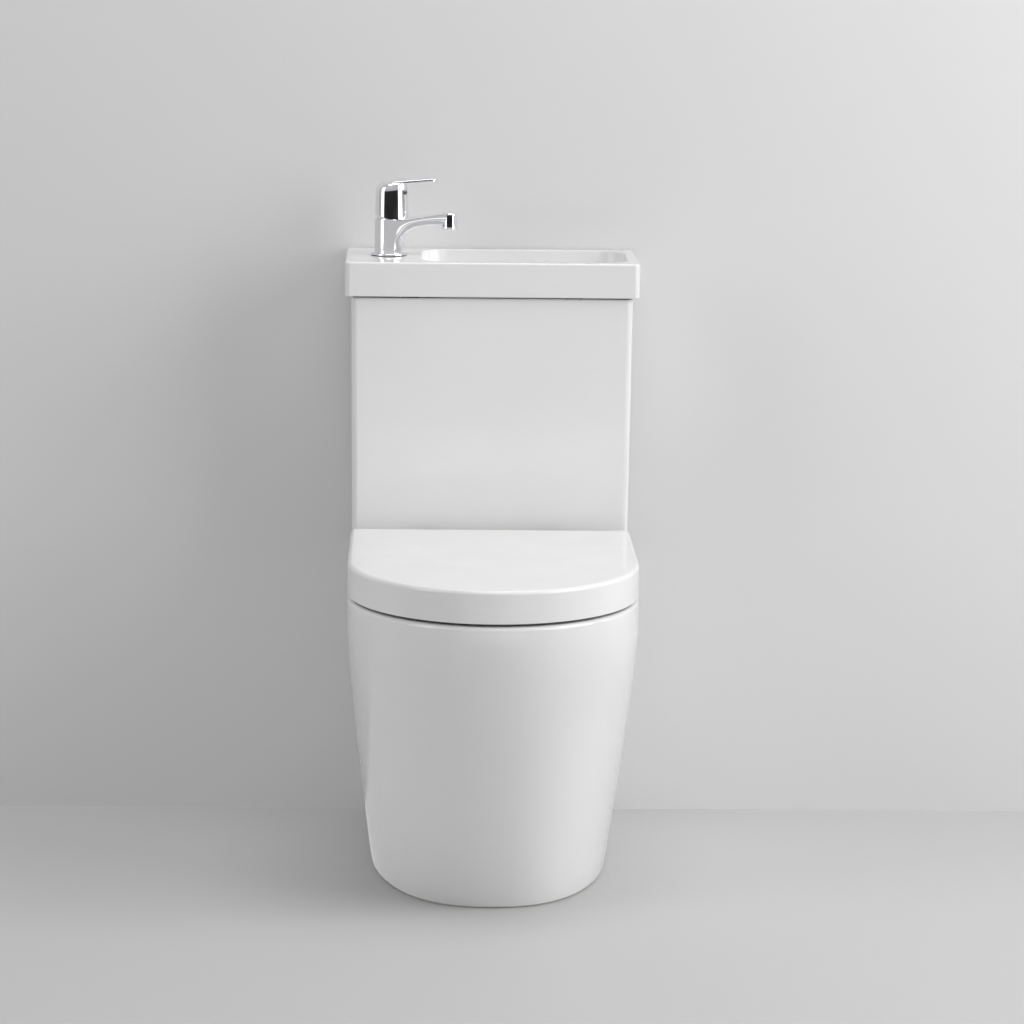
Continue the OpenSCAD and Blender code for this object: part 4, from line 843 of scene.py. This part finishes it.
def on_side(obj):
    obj.matrix_world = Matrix.Translation((BUTTON_X, TAP_Y, BUTTON_Z)) @ Matrix.Rotation(math.pi / 2, 4, "Y")
    return settle(obj, obj.name)


def button_bezel():
    bottom = -HOUSING_L
    profile = ([(0, bottom), (HOUSING_R - 0.001, bottom)]
               + rings_of_thread(HOUSING_R, bottom + 0.001, -0.002, 0.002, 0.0011)
               + [(HOUSING_R - 0.001, 0.0004), (BEZEL_R - 0.0003, 0.0004), (BEZEL_R, 0.0007)]
               + arc(BEZEL_R - 0.0013, BEZEL_T - 0.0014, 0.0012, 10, 80, 5)
               + [(BEZEL_R - 0.003, BEZEL_T)] + arc(BUTTON_R + 0.0006, BEZEL_T - 0.0006, 0.0006, 90, 180, 4)
               + [(BUTTON_R, bottom + 0.003), (0, bottom + 0.003)])
    bezel = turned("button_bezel", profile, steps=128)
    stems = [round_bar("bore", STEM_R + 0.0003, bottom - 0.001, bottom + 0.004, s * STEM_SHIFT, sides=32)
             for s in (-1, 1)]
    return on_side(cut(bezel, *stems))


def button_half(name, side):
    """One button: the round face on one side of the split, with a hollow for the finger, and its stem."""
    split, disc_r = SPLIT + side * 0.0003, BUTTON_R - 0.0004
    hollow_x, hollow_r, sink = (-0.0070, 0.0085, 0.0009) if side < 0 else (0.0118, 0.0048, 0.0006)
    rim = arc(disc_r - 0.0006, BEZEL_T - 0.0006, 0.0006, 0, 90, 4)
    button = turned(name, [(0, -0.004), (disc_r, -0.004)] + rim + [(0, BEZEL_T)], steps=128)
    start, end = (split, 0.03) if side < 0 else (-0.03, split)
    edit(cut(button, block("away", (start, -0.03, -0.006), (end, 0.03, 0.006))))
    pick("EDGE", lambda at, way: near(at.x, split) and near(at.z, BEZEL_T))
    bevel(0.0005, 3)
    done(button)
    ball_r = (hollow_r ** 2 + sink ** 2) / (2 * sink)
    clear()
    bpy.ops.mesh.primitive_uv_sphere_add(segments=96, ring_count=192, radius=ball_r,
                                         location=(hollow_x, 0, BEZEL_T + ball_r - sink))
    cut(button, settle(bpy.context.object, "ball"))
    stem = round_bar("stem", STEM_R, BUTTON_TRAVEL - HOUSING_L, -0.003, side * STEM_SHIFT, sides=32)
    return on_side(cut(button, stem, operation="UNION"))


ship(button_bezel(), "button_housing")
ship(button_half("full_button_face", -1), "full_flush_button")
ship(button_half("half_button_face", 1), "half_flush_button")

# ----------------------------------------
# Buffers, bolts and the fill valve with its threads
# ----------------------------------------
CISTERN_Z, FLOOR_Z, DECK_UNDER = 0.400, 0.410, 0.378
SEAT_PAD_R, SEAT_PAD_Z, LID_PAD_R, LID_PAD_Z = 0.009, 0.3943, 0.007, 0.4243
BOLT_R, STUD_R, THREAD_PITCH, TANK_BOLT_X = 0.004, 0.003, 0.00125, 0.084
POST_HALF, GROOVE_X, GROOVE_HALF, FILL_X = 0.0115, 0.0896, 0.0003, -0.128
# Rosette's bore round the post, and the bolt's upper end inside it
ROSETTE_BORE, BOLT_TOP = KNUCKLE_R + 0.00005, 0.406


def at_spots(name, spots, make):
    """Makes one piece at each spot (x, depth) and joins them."""
    obj = joined(*[make(x, y_at(depth)) for x, depth in spots])
    obj.name = obj.data.name = name
    return obj


def both_sides(*places):
    return [(side * x, depth) for x, depth in places for side in (-1, 1)]


def buffer_pad(radius, low, high):
    """Soft pad with a rounded foot, a little wider at its root."""
    profile = ([(0, low)] + arc(radius - 0.0026, low + 0.0020, 0.0020, -90, 0, 5)
               + [(radius - 0.0003, high - 0.0015), (radius, high), (0, high)])
    return lambda x, y: turned("pad", profile, x, y, steps=48)


def threaded_rod(radius, low, high, pitch, head=()):
    """Rod with a ringed thread and chamfered ends, and a head's profile above it where given."""
    top = list(head) or [(radius - 0.0010, high), (0, high)]
    profile = ([(0, low), (radius - 0.0012, low)]
               + rings_of_thread(radius, low + 0.0007, high - 0.0007, pitch, 0.0006) + top)
    return lambda x, y: turned("rod", profile, x, y, steps=48)


def slotted_bolt(x, y):
    """Cistern bolt: domed head with a driver's slot."""
    low, seat, top = DECK_UNDER - 0.022, FLOOR_Z + 0.003, FLOOR_Z + 0.008
    head = ([(0.008, seat)] + arc(0.0070, top - 0.0022, 0.0010, 0, 60, 4)
            + [(0.0052, top - 0.0006), (0.0028, top), (0, top)])
    bolt = threaded_rod(BOLT_R, low, seat, THREAD_PITCH, head)(x, y)
    return cut(bolt, block("slot", (x - 0.009, y - 0.0008, top - 0.0020),
                           (x + 0.009, y + 0.0008, top + 0.001)))


def hinge_posts():
    """Upright post with a rounded knuckle on top, bored for the pin and for the bolt."""
    posts = []
    for s in (-1, 1):
        x, y = s * HINGE_X, y_at(HINGE_DEPTH)
        post = across_bar("post", KNUCKLE_R, x - POST_HALF, x + POST_HALF, HINGE_DEPTH, HINGE_Z, edge=0.0012)
        cut(post, round_bar("leg", KNUCKLE_R, RIM_Z, HINGE_Z, x, y), operation="UNION")
        cut(post, across_bar("bore", PIN_BORE_R, x - 0.02, x + 0.02, HINGE_DEPTH, HINGE_Z, sides=32),
            round_bar("bolt_bore", PIN_BORE_R, RIM_Z - 0.001, BOLT_TOP + 0.00006, x, y, sides=32))
        posts.append(post)
    return joined(*posts)


def hinge_pins():
    """Pins with rounded ends and a groove for the clip beside the knuckle."""
    pins = []
    for s in (-1, 1):
        inner, outer = sorted((s * 0.051, s * 0.104))
        pin = across_bar("pin", PIN_R, inner, outer, HINGE_DEPTH, HINGE_Z, edge=0.0008)
        groove = across_bar("groove", 0.006, s * GROOVE_X - GROOVE_HALF, s * GROOVE_X + GROOVE_HALF,
                            HINGE_DEPTH, HINGE_Z)
        core = across_bar("core", 0.0034, -0.12, 0.12, HINGE_DEPTH, HINGE_Z)
        pins.append(cut(pin, cut(groove, core)))
    return joined(*pins)


def rosette(x, y):
    profile = ([(ROSETTE_BORE, RIM_Z), (0.0137, RIM_Z), (0.0140, RIM_Z + 0.0003)]
               + arc(0.0122, 0.3967, 0.0018, 0, 90)
               + [(KNUCKLE_R + 0.0005, 0.3985), (ROSETTE_BORE, 0.3981), (ROSETTE_BORE, RIM_Z)])
    return turned("rosette", profile, x, y, steps=96)


def fill_valve():
    """Threaded inlet below, and body, collars and head above, with a side outlet."""
    low, top, bore = CISTERN_Z - 0.048, FLOOR_Z + 0.226, 0.00748
    profile = ([(0, top - 0.030), (bore, top - 0.030), (bore, low), (0.0092, low)]
               + rings_of_thread(0.01048, low + 0.001, CISTERN_Z - 0.010, 0.0018, 0.0009)
               + [(0.00998, CISTERN_Z - 0.010), (0.00998, 0.413), (0.017, 0.413), (0.017, 0.4182),
                  (0.0162, 0.419), (0.014, 0.419), (0.014, 0.510), (0.018, 0.5105), (0.018, 0.5152),
                  (0.0175, 0.5157), (0.014, 0.5157), (0.014, 0.598), (0.0212, 0.598), (0.022, 0.5988),
                  (0.022, 0.6265), (0.0205, 0.628), (0.016, 0.628), (0.016, 0.6345), (0.0145, 0.636),
                  (0, 0.636)])
    valve = turned("fill_valve_finished", profile, FILL_X, TAP_Y, steps=64)
    end = -0.094
    outlet = edit(block("outlet", (FILL_X, TAP_Y - 0.006, top - 0.030), (end, TAP_Y + 0.006, top - 0.018)))
    pick("EDGE", lambda at, way: near(at.x, end) or abs(way.x) > 0.9)
    bevel(0.001, 3)
    return cut(valve, done(outlet), operation="UNION")


AT_HINGE = both_sides((HINGE_X, HINGE_DEPTH))
ship(at_spots("seat_pads", both_sides((0.1386, 0.330), (0.1044, 0.5886)),
              buffer_pad(SEAT_PAD_R, SEAT_PAD_Z, SEAT_Z)), "seat_buffers")
ship(at_spots("lid_pads", both_sides((0.1404, 0.300), (0.0882, 0.5991)),
              buffer_pad(LID_PAD_R, LID_PAD_Z, LID_UNDER)), "lid_buffers")
ship(at_spots("hinge_rods", AT_HINGE, threaded_rod(BOLT_R, DECK_UNDER - 0.030, BOLT_TOP, THREAD_PITCH)),
     "hinge_bolts", slot="brass")
ship(hinge_posts(), "hinge_posts")
ship(hinge_pins(), "hinge_pins", slot="brass")
ship(at_spots("rosettes", AT_HINGE, rosette), "hinge_covers")
ship(at_spots("tank_bolts", both_sides((TANK_BOLT_X, TANK_DEPTH)), slotted_bolt), "cistern_bolts",
     slot="brass")
ship(at_spots("tap_rod", [(TAP_X, TANK_DEPTH - 0.009)],
              threaded_rod(STUD_R, BASIN_TOP - 0.034, BASIN_TOP + 0.006, 0.001)), "tap_stud")
ship(fill_valve(), "fill_valve")

# ----------------------------------------
# Every CAD node gets its slot's finish, and the ones that aren't modelled here a smooth copy
# ----------------------------------------
for node, obj in frame["nodes"].items():
    obj.data.materials.clear()
    obj.data.materials.append(FINISHES[slot_of[node]])
    if node not in modelled:
        ship(node_copy(node), node, angle=32)

# ----------------------------------------
# Stage and light
# ----------------------------------------
FLOOR_GREY, FAR_GREY, HAZE_START, HAZE_END, WALL_GREY = 0.56, 0.55, 1.6, 5.0, 0.76


def switch(tree, first, second, share):
    """Shows the second shader where the share is 1, and the first where it is 0."""
    either = tree.nodes.new("ShaderNodeMixShader")
    tree.links.new(share, either.inputs["Fac"])
    tree.links.new(first, either.inputs[1])
    tree.links.new(second, either.inputs[2])
    tree.links.new(either.outputs[0], tree.nodes["Material Output"].inputs["Surface"])


def sums(tree, operation, first, second):
    node = tree.nodes.new("ShaderNodeMath")
    node.operation = operation
    node.use_clamp = True
    tree.links.new(first, node.inputs[0])
    tree.links.new(second, node.inputs[1])
    return node.outputs[0]


# The floor keeps the shadows near the object, and is evenly pale further off
clear()
bpy.ops.mesh.primitive_plane_add(size=24, location=(0, 0, -0.0005))
floor = settle(bpy.context.object, "floor")
floor_finish, floor_tree, floor_shader = finish_of("pale_floor", (FLOOR_GREY,) * 3, 0.55)
path = floor_tree.nodes.new("ShaderNodeLightPath")
pale = floor_tree.nodes.new("ShaderNodeEmission")
pale.inputs["Color"].default_value = (1, 1, 1, 1)
pale.inputs["Strength"].default_value = FAR_GREY
where = floor_tree.nodes.new("ShaderNodeNewGeometry")
length = floor_tree.nodes.new("ShaderNodeVectorMath")
length.operation = "LENGTH"
floor_tree.links.new(where.outputs["Position"], length.inputs[0])
far = sums(floor_tree, "MULTIPLY", path.outputs["Is Camera Ray"],
           spread(floor_tree, length.outputs["Value"], 0, 1, HAZE_START, HAZE_END))
mirrored = sums(floor_tree, "MAXIMUM", path.outputs["Is Glossy Ray"], path.outputs["Is Transmission Ray"])
switch(floor_tree, floor_shader.outputs[0], pale.outputs[0], sums(floor_tree, "MAXIMUM", far, mirrored))
floor.data.materials.append(floor_finish)

# The wall shows to the camera and in gloss, and lets the light of the room through
clear()
bpy.ops.mesh.primitive_plane_add(size=12, location=(0, WALL + 0.002, 6), rotation=(math.pi / 2, 0, 0))
wall = settle(bpy.context.object, "wall")
wall_finish, wall_tree, wall_shader = finish_of("pale_wall", (WALL_GREY,) * 3, 0.7)
path = wall_tree.nodes.new("ShaderNodeLightPath")
side = wall_tree.nodes.new("ShaderNodeNewGeometry")
clear_glass = wall_tree.nodes.new("ShaderNodeBsdfTransparent")
shiny = sums(wall_tree, "ADD", path.outputs["Is Glossy Ray"], path.outputs["Is Transmission Ray"])
seen = sums(wall_tree, "ADD", path.outputs["Is Camera Ray"], shiny)
switch(wall_tree, clear_glass.outputs[0], wall_shader.outputs[0],
       sums(wall_tree, "SUBTRACT", seen, side.outputs["Backfacing"]))
wall.data.materials.append(wall_finish)


def lamp(name, size, power, place, aim):
    data = bpy.data.lights.new(name, "AREA")
    data.shape = "RECTANGLE"
    data.size, data.size_y = size
    data.energy = power
    obj = bpy.data.objects.new(name, data)
    bpy.context.scene.collection.objects.link(obj)
    way = Vector(aim) - Vector(place)
    obj.matrix_world = Matrix.Translation(place) @ way.to_track_quat("-Z", "Y").to_matrix().to_4x4()
    return obj


lamp("window", (1.4, 2.4), 30, (2.6, -1.7, 1.5), (0, 0, 0.5))
lamp("window_by_the_wall", (1.0, 2.0), 28, (2.4, -0.5, 1.8), (0, 0, 0.6))
lamp("left_fill", (1.4, 2.4), 17, (-2.6, -1.5, 1.6), (0, 0, 0.5))
lamp("overhead", (2.0, 1.2), 27, (0.2, -0.5, 3.2), (0, 0, 0.3))
lamp("front_fill", (3.0, 2.0), 1.5, (0, -4.6, 3.6), (0, 0, 0.5))
lamp("low_fill", (1.6, 0.3), 1.0, (0, -1.7, 0.16), (0, -0.2, 0.02))

# The room is bright at the sides and above and dim in front of the object. Polished metal mirrors
# it with the dim part only near eye level, and the camera sees it plain.
world = bpy.data.worlds.new("studio")
bpy.context.scene.world = world
world.use_nodes = True
room = world.node_tree
way = room.nodes.new("ShaderNodeTexCoord")
parts = room.nodes.new("ShaderNodeSeparateXYZ")
room.links.new(way.outputs["Generated"], parts.inputs["Vector"])


def room_range(source, start, end, first, last):
    node = room.nodes.new("ShaderNodeMapRange")
    node.interpolation_type = "SMOOTHSTEP"
    for socket, value in zip(("From Min", "From Max", "To Min", "To Max"), (start, end, first, last)):
        node.inputs[socket].default_value = value
    room.links.new(source, node.inputs["Value"])
    return node.outputs["Result"]


def room_mix(share, first, second):
    node = room.nodes.new("ShaderNodeMix")
    room.links.new(share, node.inputs["Factor"])
    for socket, value in (("A", first), ("B", second)):
        if isinstance(value, float):
            node.inputs[socket].default_value = value
        else:
            room.links.new(value, node.inputs[socket])
    return node.outputs["Result"]


path = room.nodes.new("ShaderNodeLightPath")
dim = room_range(parts.outputs["Y"], -0.85, -0.45, 0.02, 0.434)
mirrored = room_mix(room_range(parts.outputs["Z"], 0.02, 0.09, 0, 1), dim, 0.5)
gloss = room_mix(path.outputs["Is Glossy Ray"], dim, mirrored)
strength = room_mix(path.outputs["Is Camera Ray"], gloss, 0.6)
room.nodes["Background"].inputs["Color"].default_value = (1, 1, 1, 1)
room.links.new(strength, room.nodes["Background"].inputs["Strength"])
bpy.context.scene.view_settings.view_transform = "Standard"

import json
